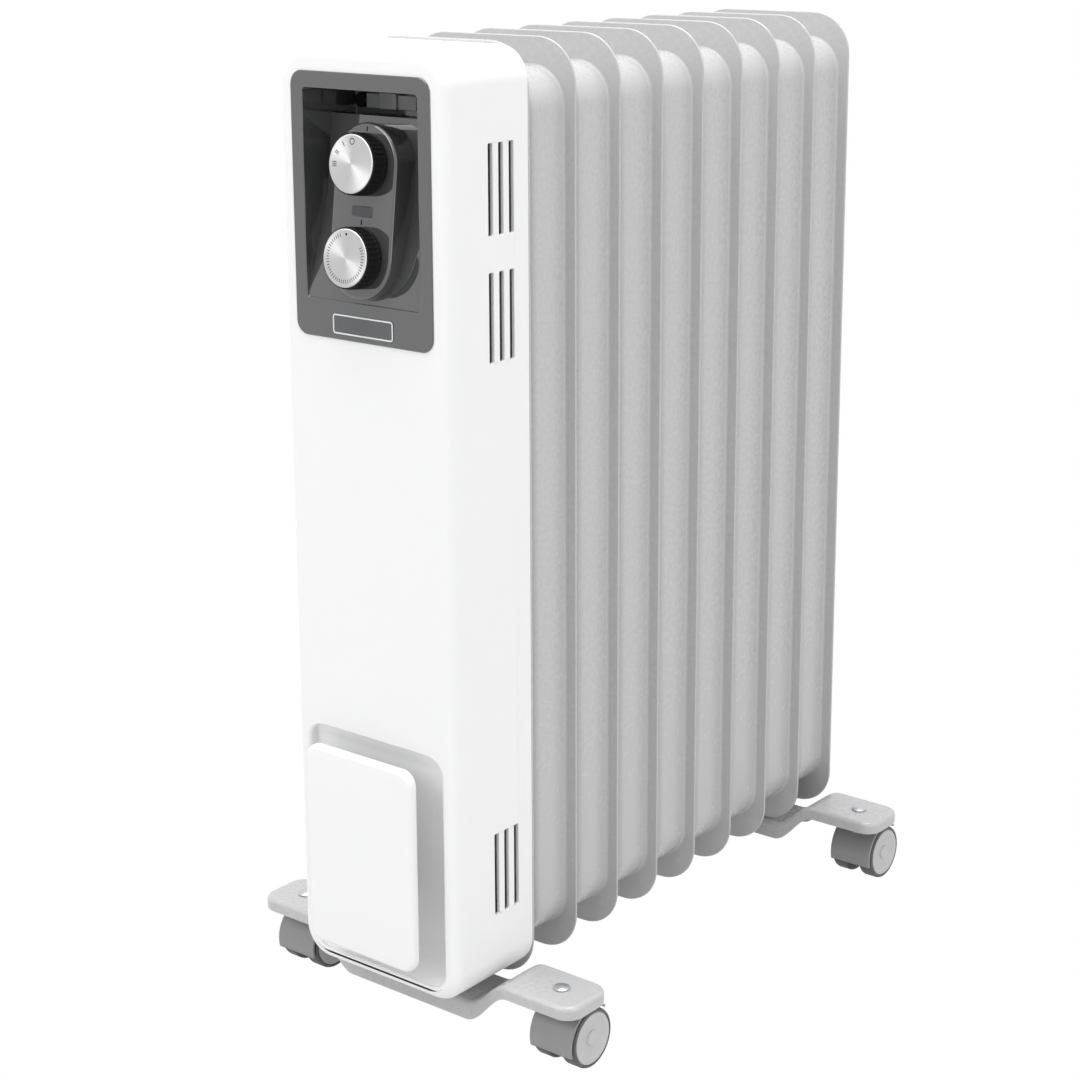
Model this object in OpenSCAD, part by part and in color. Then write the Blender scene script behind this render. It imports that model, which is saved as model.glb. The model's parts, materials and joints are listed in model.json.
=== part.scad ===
// Oil filled radiator heater: a stack of pressed steel elements behind a plastic control housing,
// carried by two pressed saddles on four twin-wheel swivel casters.
// Frame: +Z up, the control panel faces -Y, X across the elements. The origin is on the floor,
// below the middle of the object's bounding box.

/* [Overall] */
// Height of the heater above the floor, to the top of the elements
total_h = 640.4; // [560:0.4:780]
// Width of an element and of the housing, across X
body_w = 134.8; // [120:0.2:190]

/* [Radiator elements] */
// Number of elements behind the end plate
fin_count = 8; // [5:1:10]
// Distance from one element to the next
fin_pitch = 45.6; // [40:0.2:56]
// Clear height between the floor and the lowest edge of the elements
fin_lift = 33.4; // [31:0.2:40]
// Thickness of the seam-welded rim plate
rim_t = 1.6; // [1.4:0.1:3]
// Corner radius of the rim plate
rim_r = 29.4; // [24:0.2:36]
// Distance from the rim edge in to the side wall of the oil chamber
chamber_inset = 9; // [7:0.5:14]
// Distance from the rim edge in to the top and bottom of the oil chamber
chamber_end_inset = 18.5; // [15:0.5:26]
// Open gap between one rim plate and the front of the next oil chamber
chamber_gap = 12.6; // [10:0.2:16]
// Corner radius of the oil chamber
chamber_r = 24; // [20:0.5:32]
// Rounding of the oil chamber's front edge
chamber_round = 9; // [5:0.5:12]
// Sheet thickness of the oil chamber
sheet_t = 0.8; // [0.8:0.1:2]
// Outer radius of the hub collars that join the elements
hub_r = 20; // [17:0.5:24]
// Wall of the hub collars
hub_wall = 3; // [2:0.5:5]
// Height of the hub centre inside the chamber, from the chamber's end
hub_inset = 30; // [27:0.5:40]

/* [Housing] */
// Depth of the housing, from its front face to the end plate
housing_d = 75; // [66:0.2:100]
// Gap from the floor to the underside of the housing
housing_lift = 43.4; // [42:0.2:60]
// Drop of the housing's top face below the top of the elements
housing_drop = 1.9; // [0:0.1:8]
// Corner radius of the housing seen from the front
housing_r = 21; // [16:0.5:30]
// Rounding of the housing's front edge
housing_round = 7.5; // [4:0.5:10]
// Wall of the housing
housing_wall = 2.5; // [2:0.1:4]
// Length of a side vent slot
slot_l = 55; // [40:1:60]
// Width of a side vent slot
slot_w = 4.4; // [3:0.1:5.5]
// Corner radius of a side vent slot
slot_r = 1; // [0.4:0.1:1.4]
// Distance between neighbouring vent slots
slot_pitch = 9.65; // [8:0.05:11]
// Distance from the housing's front face to the middle slot
slot_y = 48.9; // [40:0.1:52]
// Drop of each upper group's top end below the top of the elements
slot_drops = [56.7, 133.6]; // [0:0.1:300]
// Height of the lower group's bottom end above the floor
slot_low = 94.1; // [80:0.1:140]

/* [Control panel] */
// Distance from the housing's side to the panel's side
panel_side = 11.6; // [10:0.2:18]
// Drop of the panel's top edge below the top of the elements
panel_drop = 16.7; // [12:0.1:30]
// Corner radius of the panel
panel_r = 9; // [5:0.5:14]
// How far the panel's face stands proud of the housing
panel_proud = 1; // [0.5:0.1:2]
// Tilt of the control face away from vertical
face_tilt = 7.2; // [4:0.1:10]
// Depth of the control face behind the housing's front, on the upper knob's axis
face_y = 3.9; // [2:0.1:8]
// Distance from the panel's side to the side of the recess
recess_side = 8.8; // [7.5:0.1:14]
// Drop of the recess's top edge below the panel's top edge
recess_drop = 10.2; // [8:0.2:16]
// Drop of the recess's lower edge below the control island
recess_foot = 3.3; // [2:0.1:10]
// Drop of the panel's lower edge below the recess
panel_foot = 24; // [16:0.5:40]
// Depth from the control face back to the floor of the recess
recess_floor = 17.5; // [12:0.5:20]
// Distance between the two knob axes
knob_pitch = 55.7; // [50:0.1:70]
// Drop of the upper knob's axis below the panel's top edge, at the control face
knob_drop = 53.8; // [48:0.2:60]
// Radius of the raised control island round the knobs
island_r = 25; // [22:0.5:28]

/* [Knobs] */
// Radius over the flutes of a knob
knob_r = 18.7; // [18:0.1:23]
// Height of a knob in front of the control face
knob_h = 11.8; // [10:0.1:16]
// Number of flutes round a knob
flute_count = 36; // [24:2:44]
// Radius of a knob's metal cap
cap_r = 17.6; // [14:0.1:18]
// Thickness of a knob's metal cap
cap_t = 1.4; // [1:0.1:2]
// How far a cap stands proud of its knob
cap_stand = 0.3; // [0.1:0.1:0.8]
// Radius of a control shaft
shaft_r = 3; // [2.5:0.1:4]
// Running clearance on radius between a turning shaft and its bush
run_gap = 0.05; // [0.02:0.01:0.1]
// Clearance between moving pieces that only pass each other
pass_gap = 0.4; // [0.3:0.1:0.8]

/* [Cord wrap] */
// Distance from the housing's side to the side of the cord recess
pocket_side = 11.8; // [10:0.2:20]
// Height of the cord recess
pocket_h = 156; // [150:1:200]
// Distance from the housing's underside up to the cord recess
pocket_lip = 8.6; // [7:0.2:16]
// Depth of the cord recess at its deep lower end
pocket_d = 23; // [16:0.5:26]
// Width of the cord plate
cord_plate_w = 90; // [80:0.5:100]
// Height of the cord plate
cord_plate_h = 135; // [110:0.5:150]
// Thickness of the cord plate
cord_plate_t = 6; // [4:0.5:8]
// How far the cord plate's front stands in front of the housing
cord_plate_proud = 16.4; // [12:0.2:20]
// Height of the cord plate's lower edge above the recess's lower edge
cord_plate_lift = 13.8; // [8:0.2:20]

/* [Feet] */
// Length of a foot across the heater
foot_l = 272; // [250:1:320]
// Width of a foot along the heater
foot_w = 42; // [36:0.5:50]
// Depth of the turned-down edge at the flat ends
foot_skirt = 8.8; // [6:0.1:12]
// Gap between a caster's hood and the turned-down edge
foot_clear = 2.3; // [1.5:0.1:5]
// Sheet thickness of a foot
foot_t = 1.6; // [1.2:0.1:2.5]
// Distance from the housing's front face to the middle of the front foot
front_foot_y = 48; // [44:0.5:50]
// Distance from the end of a foot to the caster stem
stem_inset = 24; // [20:0.5:28]

/* [Casters] */
// Wheel radius
wheel_r = 19.6; // [17:0.1:24]
// Wheel width
wheel_w = 11.6; // [9:0.1:12]
// Overall width of a caster over both wheels
caster_w = 34; // [32:0.5:38]
// Distance the axle trails behind the stem
trail = 10.6; // [8:0.1:13]
// Stem radius
stem_r = 4; // [3:0.1:4.2]
// Axle radius
axle_r = 2.5; // [2:0.1:3]

/* [Hidden] */
CASTERS = ["front_left", "front_right", "rear_left", "rear_right"];
STATIC_NODES = [
    "housing", "control_panel", "timer_blank", "badge_plate", "lamp_lens", "lamp_body",
    "power_switch", "thermostat", "chassis_bracket", "bracket_screws", "housing_screws",
    "end_plate", "hub_collars", "hub_plugs", "heating_element", "thermal_cutout", "tip_over_switch",
    "terminal_block", "wiring_loom", "cord_plate", "cord_post", "cord_inlet",
    "front_foot", "rear_foot", "foot_spacers", "foot_bolts", "u_bolt", "wing_nuts",
    "stem_bushes"];
KNOB_NODES = ["power_knob", "power_cap", "power_shaft", "thermostat_knob", "thermostat_cap",
    "thermostat_shaft"];
$fn = 64;

eps = 0.01;
hw = body_w / 2;
pitch0 = housing_d + rim_t;               // rear face of the end plate
function rim_y(k) = pitch0 + k * fin_pitch;
fin_h = total_h - fin_lift;
fin_mid = fin_lift + fin_h / 2;
chamber_w = body_w - 2 * chamber_inset;
chamber_h = fin_h - 2 * chamber_end_inset;
chamber_d = fin_pitch - rim_t - chamber_gap;
hub_low = fin_lift + chamber_end_inset + hub_inset;
hub_high = total_h - chamber_end_inset - hub_inset;
plug_t = 5;
cap_edge = pass_gap + knob_h + cap_stand;
rear_y = rim_y(fin_count) + plug_t;
face_z = total_h - panel_drop - knob_drop;    // height of the upper knob's axis at the control face
face_slope = tan(face_tilt);
function face_at(z) = face_y + (z - face_z) * face_slope;
low_knob_z = face_z - knob_pitch * cos(face_tilt);
low_cap_y = face_at(low_knob_z) - cap_edge * cos(face_tilt) - cap_r * sin(face_tilt);
front_y = min(-cord_plate_proud, low_cap_y);
mid_y = (front_y + rear_y) / 2;               // shift that puts the origin under the middle

white = [0.93, 0.93, 0.93];
enamel = [0.80, 0.80, 0.80];
gloss_grey = [0.36, 0.37, 0.38];
black = [0.12, 0.12, 0.13];
steel = [0.72, 0.73, 0.74];
foot_grey = [0.80, 0.80, 0.80];
caster_grey = [0.66, 0.66, 0.66];
copper = [0.72, 0.45, 0.30];

// Places a child drawn in the housing's own coordinates, where y = 0 is the housing's front face
module placed() { translate([0, -mid_y, 0]) children(); }

// A 2D rectangle with round corners, centred
module round_rect(w, h, r) {
    square([w - 2 * r, h], center = true);
    square([w, h - 2 * r], center = true);
    for (sx = [-1, 1])
        for (sy = [-1, 1])
            translate([sx * (w / 2 - r), sy * (h / 2 - r)]) circle(r = r);
}

// A plate in the XZ plane with round corners, from y = y0 back to y = y0 + t
module xz_plate(w, h, r, t, y0, z_mid) {
    translate([0, y0 + t, z_mid]) rotate([90, 0, 0]) linear_extrude(t) round_rect(w, h, r);
}

// A cylinder along +Y starting at y = y0
module y_rod(r, l, x, y0, z) {
    translate([x, y0 + l, z]) rotate([90, 0, 0]) cylinder(r = r, h = l);
}

// Profile of a wall of radius r and depth d whose front edge has the rounding f
module pan_profile(r, d, f) {
    square([r, d - f]);
    square([r - f, d]);
    translate([r - f, d - f]) intersection() {
        circle(r = f);
        square(f);
    }
}

// A solid pan: a block with round corners and a rounded front edge, back face at y = y_back
module pan(w, h, r, d, f, y_back, z_mid) {
    translate([0, y_back, z_mid]) {
        cx = w / 2 - r;
        cz = h / 2 - r;
        for (sx = [0, 1])
            for (sz = [0, 1])
                mirror([sx, 0, 0]) mirror([0, 0, sz]) translate([cx, 0, cz])
                    rotate([90, 0, 0]) rotate_extrude(angle = 90) pan_profile(r, d, f);
        for (sx = [0, 1])
            mirror([sx, 0, 0]) translate([cx, 0, -cz])
                linear_extrude(2 * cz) mirror([0, 1]) pan_profile(r, d, f);
        for (sz = [0, 1])
            mirror([0, 0, sz]) translate([-cx, 0, cz]) rotate([90, 0, 90])
                linear_extrude(2 * cx) rotate(90) pan_profile(r, d, f);
        translate([-cx, -d, -cz]) cube([2 * cx, d, 2 * cz]);
    }
}

// ---------------------------------------------------------------- radiator elements

module hub_bores(r, y0, l) {
    for (z = [hub_low, hub_high]) y_rod(r, l, 0, y0, z);
}

module fin(k) {
    y = rim_y(k);
    bore = hub_r - hub_wall;
    color(enamel) placed() difference() {
        union() {
            xz_plate(body_w, fin_h, rim_r, rim_t, y - rim_t, fin_mid);
            pan(chamber_w, chamber_h, chamber_r, chamber_d, chamber_round, y - rim_t, fin_mid);
        }
        pan(chamber_w - 2 * sheet_t, chamber_h - 2 * sheet_t, chamber_r - sheet_t,
            chamber_d - sheet_t, chamber_round - sheet_t, y - rim_t, fin_mid);
        hub_bores(bore, y - rim_t - chamber_d - eps, chamber_d + rim_t + 2 * eps);
    }
}

module end_plate() {
    color(enamel) placed() difference() {
        xz_plate(body_w, fin_h, rim_r, rim_t, housing_d, fin_mid);
        hub_bores(hub_r - hub_wall, housing_d - eps, rim_t + 2 * eps);
        for (p = bracket_screw_at) y_rod(screw_r + run_gap, rim_t + 2 * eps, p[0], housing_d - eps, p[1]);
        for (p = housing_screw_at) y_rod(screw_r + run_gap, rim_t + 2 * eps, p[0], housing_d - eps, p[1]);
    }
}

module hub_collars() {
    color(enamel) placed()
        for (k = [0:fin_count - 1])
            for (z = [hub_low, hub_high])
                difference() {
                    y_rod(hub_r, chamber_gap, 0, rim_y(k), z);
                    y_rod(hub_r - hub_wall, chamber_gap + 2 * eps, 0, rim_y(k) - eps, z);
                }
}

module hub_plugs() {
    plug_r = hub_r + 2;
    color(enamel) placed() {
        for (z = [hub_low, hub_high]) y_rod(plug_r, plug_t, 0, rim_y(fin_count), z);
        y_rod(plug_r, plug_t, 0, housing_d - plug_t, hub_high);
    }
}

// ---------------------------------------------------------------- heating element

element_flange_r = hub_r + 4;
element_flange_t = 6;
element_tube_r = 4;
element_leg_x = 8;
element_clear = 66;                           // from the legs' end to the rear plugs
element_pin_r = 2;
element_pin_l = 10;

// A flange with two legs joined by a bend, and a terminal pin on each leg
module heating_element() {
    bend_y = rim_y(fin_count) - element_clear;
    color(copper) placed() {
        y_rod(element_flange_r, element_flange_t, 0, housing_d - element_flange_t, hub_low);
        for (s = [-1, 1]) {
            y_rod(element_tube_r, bend_y - housing_d, s * element_leg_x, housing_d, hub_low);
            y_rod(element_pin_r, element_pin_l, s * element_leg_x,
                housing_d - element_flange_t - element_pin_l, hub_low);
        }
        translate([0, bend_y, hub_low]) rotate_extrude(angle = 180)
            translate([element_leg_x, 0]) circle(r = element_tube_r);
    }
}

// ---------------------------------------------------------------- housing

slot_groups = [total_h - slot_drops[0] - slot_l / 2, total_h - slot_drops[1] - slot_l / 2,
    slot_low + slot_l / 2];
housing_top = total_h - housing_drop;
housing_h = housing_top - housing_lift;
housing_mid = housing_lift + housing_h / 2;
panel_w = body_w - 2 * panel_side;
panel_top = total_h - panel_drop;
recess_top = panel_top - recess_drop;
recess_low = low_knob_z - island_r - recess_foot;
panel_low = recess_low - panel_foot;
panel_h = panel_top - panel_low;
panel_mid = (panel_top + panel_low) / 2;
panel_lip = 5;                                // overlap of the panel on the housing's face
panel_fit = 0.3;                              // gap round the panel's plug in the housing
pocket_w = body_w - 2 * pocket_side;
pocket_low = housing_lift + pocket_lip;
pocket_top = pocket_low + pocket_h;
pocket_lead = 6;                              // rise of the scooped upper edge
pocket_ramp = 18;                             // rise of the slope at the lower edge
pocket_flat = 20;                             // height of the deep floor
pocket_r = 12;

// The cord recess: a scooped upper edge, a long slope, a deep floor and a short slope.
// It is grown by g on its hidden faces.
module pocket(g) {
    top = pocket_top + g;
    low = pocket_low - g;
    y0 = -1;
    floor_low = pocket_low + pocket_ramp;
    intersection() {
        translate([-pocket_w / 2 - g, 0, 0]) rotate([90, 0, 90]) linear_extrude(pocket_w + 2 * g)
            polygon([[y0, top], [y0 + pocket_lead + g, top - pocket_lead],
                [pocket_d + g, floor_low + pocket_flat], [pocket_d + g, floor_low], [y0, low]]);
        xz_plate(pocket_w + 2 * g, pocket_h + 2 * g, pocket_r + g, pocket_d + g - 2 * y0, 2 * y0,
            (pocket_top + pocket_low) / 2);
    }
}

module side_slots() {
    for (z = slot_groups)
        for (i = [-1:1])
            translate([-hw - 1, slot_y + i * slot_pitch, z]) rotate([90, 0, 90])
                linear_extrude(body_w + 2) round_rect(slot_w, slot_l, slot_r);
}

screw_r = 1.9;
screw_head_r = 3.6;
screw_head_t = 2.2;
boss_r = 4.5;
boss_l = 22;
boss_root = 0.6;                              // how far a boss runs into the side wall
boss_skin = 4;                                // solid front end of a boss
boss_inset = [34, 40];                        // from the housing's lower and upper face
boss_x = hw - housing_wall - boss_r + boss_root;
housing_screw_at = [for (sx = [-1, 1]) for (z = [housing_lift + boss_inset[0], housing_top - boss_inset[1]])
    [sx * boss_x, z]];
bolt_gap = 0.2;                               // clearance on radius round a bolt

module housing() {
    inner_w = body_w - 2 * housing_wall;
    inner_h = housing_h - 2 * housing_wall;
    color(white) placed() difference() {
        union() {
            difference() {
                pan(body_w, housing_h, housing_r, housing_d, housing_round, housing_d, housing_mid);
                pan(inner_w, inner_h, housing_r - housing_wall, housing_d - housing_wall,
                    housing_round - housing_wall, housing_d, housing_mid);
            }
            intersection() {
                pocket(housing_wall);
                translate([-hw, housing_wall / 2, 0]) cube([body_w, housing_d, total_h]);
            }
            for (p = housing_screw_at) y_rod(boss_r, boss_l, p[0], housing_d - boss_l, p[1]);
        }
        pocket(0);
        side_slots();
        xz_plate(panel_w - 2 * panel_lip, panel_h - 2 * panel_lip, panel_plug_r + panel_fit,
            housing_wall + 2, -1, panel_mid);
        for (p = housing_screw_at)
            y_rod(screw_r + run_gap, boss_l - boss_skin, p[0], housing_d - boss_l + boss_skin + eps, p[1]);
        for (x = foot_bolt_x) translate([x, front_foot_y, housing_lift - 1])
            cylinder(r = foot_bolt_r + bolt_gap, h = housing_wall + 2);
        y_rod(inlet_r, pocket_d, inlet_x, housing_wall, inlet_z);
    }
}

module housing_screws() {
    y0 = housing_d - boss_l + boss_skin + pass_gap;
    color(steel) placed() for (p = housing_screw_at) {
        y_rod(screw_r, pitch0 - y0, p[0], y0, p[1]);
        y_rod(screw_head_r, screw_head_t, p[0], pitch0, p[1]);
    }
}

// ---------------------------------------------------------------- chassis and internals

bracket_w = 84;
bracket_t = 2;
bracket_h = 26;
bracket_gap = 8;                              // from the cord recess back to the bracket
bracket_z = housing_lift + housing_wall;
bracket_screw_at = [for (s = [-1, 1]) [s * 34, bracket_z + 14]];
bracket_screw_tail = 3;

// Bent plate that ties the front foot and the housing's floor to the end plate
module chassis_bracket() {
    y0 = pocket_d + bracket_gap;
    y_up = housing_d - bracket_t;
    color(steel) placed() difference() {
        union() {
            translate([-bracket_w / 2, y0, bracket_z]) cube([bracket_w, housing_d - y0, bracket_t]);
            translate([-bracket_w / 2, y_up, bracket_z]) cube([bracket_w, bracket_t, bracket_h]);
        }
        y_rod(element_flange_r + 2, bracket_t + 2, 0, y_up - 1, hub_low);
        for (p = bracket_screw_at) y_rod(screw_r + run_gap, bracket_t + 2, p[0], y_up - 1, p[1]);
        for (x = foot_bolt_x) translate([x, front_foot_y, bracket_z - 1])
            cylinder(r = foot_bolt_r + bolt_gap, h = bracket_t + 2);
    }
}

module bracket_screws() {
    y_up = housing_d - bracket_t;
    color(steel) placed() for (p = bracket_screw_at) {
        y_rod(screw_r, bracket_t + rim_t + bracket_screw_tail, p[0], y_up, p[1]);
        y_rod(screw_head_r, screw_head_t, p[0], y_up - screw_head_t, p[1]);
    }
}

cutout_r = 9;
cutout_t = 7;
cutout_drop = 60;                             // below the upper hub
cutout_tab = [6, 6, 1.2];

// Disc thermostat clamped to the end plate, with two blade terminals
module thermal_cutout() {
    z = hub_high - cutout_drop;
    color(steel) placed() {
        y_rod(cutout_r, cutout_t, 0, housing_d - cutout_t, z);
        for (s = [-1, 1]) translate([s * 4 - cutout_tab[0] / 2, housing_d - cutout_t - cutout_tab[1], z])
            cube(cutout_tab);
    }
}

tip_switch_size = [24, 11, 30];
tip_switch_y = housing_d - 19;
tip_window = [8, 5, 9];

// Micro switch over a pendulum window, standing on the chassis bracket
module tip_over_switch() {
    x0 = bracket_w / 2 - tip_switch_size[0] - 2;
    z0 = bracket_z + bracket_t;
    color(black) placed() difference() {
        translate([x0, tip_switch_y, z0]) cube(tip_switch_size);
        translate([x0 + (tip_switch_size[0] - tip_window[0]) / 2, tip_switch_y - 1, z0 + tip_window[2] / 2])
            cube(tip_window);
    }
}

terminal_size = [52, 18, 20];
terminal_z = hub_low + 60;
terminal_pitch = 11;
terminal_hole_r = 2.2;
terminal_hole_l = 12;
loom_x = terminal_pitch;
loom_r = 3;
loom_bend = 9;
loom_y = housing_d - 13;
loom_tip = 0.5;                               // clearance from the tilted switch body

module terminal_block() {
    z_top = terminal_z + terminal_size[2];
    color(white) placed() difference() {
        translate([-terminal_size[0] / 2, housing_d - terminal_size[1], terminal_z]) cube(terminal_size);
        for (i = [-2:2]) translate([i * terminal_pitch, loom_y, z_top - terminal_hole_l])
            cylinder(r = terminal_hole_r, h = terminal_hole_l + 1);
    }
}

// One bundle of leads: up from the terminal block and forward into the back of a switch body
module loom(x, z, y_end) {
    z0 = terminal_z + terminal_size[2];
    translate([x, loom_y, z0]) cylinder(r = loom_r, h = z - loom_bend - z0);
    translate([x, loom_y - loom_bend, z - loom_bend]) rotate([90, 0, 90])
        rotate_extrude(angle = 90) translate([loom_bend, 0]) circle(r = loom_r);
    y_rod(loom_r, loom_y - loom_bend - y_end, x, y_end, z);
}

// Where a bundle ends: just behind a switch body whose axis meets the control face at height z
function body_back(z, size) = face_at(z) + (panel_skin + size[2]) / cos(face_tilt) + loom_tip;

module wiring_loom() {
    color(black) placed() {
        loom(-loom_x, low_knob_z, body_back(low_knob_z, thermostat_size));
        loom(loom_x, face_z, body_back(face_z, power_size));
    }
}

// ---------------------------------------------------------------- control panel

slot_h = 17;                                  // height of the deep slot at the recess's top
slot_floor_z = recess_top - slot_h;
slot_back = 45;
ramp_reach = 111.7;                           // the slope's height and the knobs' distance, together
ramp_rise = ramp_reach - knob_pitch;          // height of the slope at the recess's lower end
panel_skin = 2.2;
panel_plug_r = panel_r - 2.3;
bush_gap = 1.5;                               // clearance on radius round a control shaft

// Profile of the recess in the YZ plane, grown by g on its hidden faces
module recess_profile(g) {
    ramp_z = recess_low + ramp_rise;
    y0 = -panel_proud - 4;
    polygon([[y0, recess_top + g], [face_at(recess_top) + recess_floor + g, recess_top + g],
        [face_at(ramp_z) + recess_floor + g, ramp_z - g / 2], [-panel_proud, recess_low - g / 2],
        [y0, recess_low - g / 2]]);
    translate([y0, slot_floor_z - g]) square([slot_back - y0 + g, slot_h + 2 * g]);
}

module recess_block(g, w) {
    translate([-w / 2, 0, 0]) rotate([90, 0, 90]) linear_extrude(w) recess_profile(g);
}

// Puts a child on the control face: its +Z points out of the face, its origin is on an axis
// that lies drop below the upper knob's axis
module on_face(drop) {
    z = face_z - drop * cos(face_tilt);
    translate([0, face_at(z), z]) rotate([90 - face_tilt, 0, 0]) children();
}

// Outline of the control island: two half circles round the knob axes and straight sides
module island_outline(r) {
    translate([0, -knob_pitch / 2]) square([2 * r, knob_pitch], center = true);
    circle(r = r);
    translate([0, -knob_pitch]) circle(r = r);
}

lamp_w = 17;
lamp_h = 6.4;
lamp_r = 1.5;
lamp_fit = 0.1;
lamp_proud = 0.3;
lamp_body_size = [14, 5.4, 10];

// Panel with its recess and slot as one skin, and the hollow island that carries the controls
module control_panel() {
    recess_w = panel_w - 2 * recess_side;
    plug_w = panel_w - 2 * panel_lip - 2 * panel_fit;
    plug_h = panel_h - 2 * panel_lip - 2 * panel_fit;
    island_back = recess_floor + panel_skin;
    color(gloss_grey) placed() difference() {
        union() {
            difference() {
                union() {
                    xz_plate(panel_w, panel_h, panel_r, panel_proud, -panel_proud, panel_mid);
                    xz_plate(plug_w, plug_h, panel_plug_r, housing_wall + 1, 0, panel_mid);
                    intersection() {
                        recess_block(panel_skin, recess_w + 2 * panel_skin);
                        translate([-hw, 0, 0]) cube([body_w, housing_d, total_h]);
                    }
                }
                recess_block(0, recess_w);
            }
            on_face(0) translate([0, 0, -island_back]) linear_extrude(island_back) island_outline(island_r);
        }
        for (drop = [0, knob_pitch])
            on_face(drop) translate([0, 0, -panel_skin - 1])
                cylinder(r = shaft_r + bush_gap, h = panel_skin + 2);
        on_face(0) translate([0, 0, -island_back - 1]) linear_extrude(island_back + 1 - panel_skin)
            island_outline(island_r - panel_skin);
        on_face(knob_pitch / 2) translate([0, 0, -panel_skin - 1]) linear_extrude(panel_skin + 2)
            round_rect(lamp_w + 2 * lamp_fit, lamp_h + 2 * lamp_fit, lamp_r + lamp_fit);
    }
}

strip_side = 4.5;
strip_h = 9;
strip_t = 4;
strip_lift = 2.2;
strip_tab = [14, 1.5, 10];
strip_tab_x = -18;

// Blanking strip across the deep slot, with one small tab
module timer_blank() {
    w = panel_w - 2 * recess_side - 2 * strip_side;
    z0 = slot_floor_z + strip_lift;
    color(gloss_grey) placed() {
        translate([-w / 2, slot_back - strip_t, z0]) cube([w, strip_t, strip_h]);
        translate([strip_tab_x, slot_back - strip_t - strip_tab[1], z0]) cube(strip_tab);
    }
}

badge_w = 49;
badge_h = 12.2;
badge_t = 0.6;
badge_r = 2;
badge_lift = 9.8;                             // from the panel's lower edge to the badge's middle
module badge_plate() {
    color(gloss_grey) placed()
        xz_plate(badge_w, badge_h, badge_r, badge_t, -panel_proud - badge_t, panel_low + badge_lift);
}

module lamp_lens() {
    color([0.25, 0.25, 0.27]) placed() on_face(knob_pitch / 2) translate([0, 0, -panel_skin])
        linear_extrude(panel_skin + lamp_proud) round_rect(lamp_w, lamp_h, lamp_r);
}

module lamp_body() {
    color(white) placed() on_face(knob_pitch / 2) translate([0, 0, -panel_skin - lamp_body_size[2]])
        linear_extrude(lamp_body_size[2]) round_rect(lamp_body_size[0], lamp_body_size[1], lamp_r);
}

power_size = [30, 30, 24];
thermostat_size = [38, 24, 22];
shaft_seat = 12;                              // depth of the shaft bush in a switch body
shaft_end = 0.5;                              // clearance behind the shaft

// A switch body behind the island's face, bored for its shaft
module rotary_body(size, drop) {
    color(black) placed() on_face(drop) difference() {
        translate([-size[0] / 2, -size[1] / 2, -panel_skin - size[2]]) cube(size);
        translate([0, 0, -panel_skin - shaft_seat]) cylinder(r = shaft_r + run_gap, h = shaft_seat + 1);
    }
}

module power_switch() { rotary_body(power_size, 0); }
module thermostat() { rotary_body(thermostat_size, knob_pitch); }

knob_skin = 2.4;                              // thickness left between the shaft socket and the cap
shaft_fit = 0.02;

module control_shaft(drop) {
    back = panel_skin + shaft_seat - shaft_end;
    front = pass_gap + knob_h + cap_stand - cap_t - knob_skin;
    color(steel) placed() on_face(drop) translate([0, 0, -back]) cylinder(r = shaft_r, h = back + front);
}

module power_shaft() { control_shaft(0); }
module thermostat_shaft() { control_shaft(knob_pitch); }

flute_r = 0.9;
flute_out = 0.35;                             // flute centres lie this far outside the knob
flute_start = 2.5;                            // plain skirt below the flutes
cap_fit = 0.1;

// A fluted knob with a shaft socket and a shallow seat for its cap
module knob(drop) {
    seat_z = knob_h + cap_stand - cap_t;
    color(black) placed() on_face(drop) translate([0, 0, pass_gap]) difference() {
        cylinder(r = knob_r, h = knob_h, $fn = 96);
        for (i = [0:flute_count - 1])
            rotate(i * 360 / flute_count) translate([knob_r + flute_out, 0, flute_start])
                cylinder(r = flute_r, h = knob_h, $fn = 16);
        translate([0, 0, seat_z]) cylinder(r = cap_r + cap_fit, h = cap_t);
        translate([0, 0, -1]) cylinder(r = shaft_r + shaft_fit, h = seat_z - knob_skin + 1);
    }
}

module cap(drop) {
    color([0.82, 0.82, 0.83]) placed() on_face(drop)
        translate([0, 0, cap_edge - cap_t]) cylinder(r = cap_r, h = cap_t, $fn = 96);
}

module power_knob() { knob(0); }
module power_cap() { cap(0); }
module thermostat_knob() { knob(knob_pitch); }
module thermostat_cap() { cap(knob_pitch); }

// ---------------------------------------------------------------- cord wrap

cord_plate_low = pocket_low + cord_plate_lift;
cord_plate_mid = cord_plate_low + cord_plate_h / 2;
cord_plate_r = 10;
cord_plate_round = 3;
post_w = 34;
post_h = 62;
post_r = 12;
inlet_x = -(pocket_w + cord_plate_w) / 4;      // in the gap beside the cord plate
inlet_z = pocket_low + pocket_ramp + pocket_flat / 2;
inlet_r = 5;
inlet_fit = 0.1;
inlet_lip = 2;
inlet_nose = 4;
cord_r = 3.6;

module cord_plate() {
    color(white) placed() pan(cord_plate_w, cord_plate_h, cord_plate_r, cord_plate_t, cord_plate_round,
        cord_plate_t - cord_plate_proud, cord_plate_mid);
}

// The post the cord winds round, from the plate back to the sloping floor of the recess
module cord_post() {
    y0 = cord_plate_t - cord_plate_proud;
    color(white) placed() intersection() {
        xz_plate(post_w, post_h, post_r, pocket_d - y0 + 1, y0, cord_plate_mid);
        union() {
            pocket(0);
            translate([-hw, y0, 0]) cube([body_w, -y0, total_h]);
        }
    }
}

// Flanged grommet in the deep floor of the recess, where a supply cord would leave beside the plate
module cord_inlet() {
    y_back = pocket_d + housing_wall;
    y_front = pocket_d - inlet_nose;
    color(black) placed() difference() {
        union() {
            y_rod(inlet_r - inlet_fit, y_back - y_front, inlet_x, y_front, inlet_z);
            y_rod(inlet_r + inlet_lip, inlet_lip, inlet_x, y_back, inlet_z);
        }
        y_rod(cord_r, y_back + inlet_lip - y_front + 2, inlet_x, y_front - 1, inlet_z);
    }
}

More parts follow.
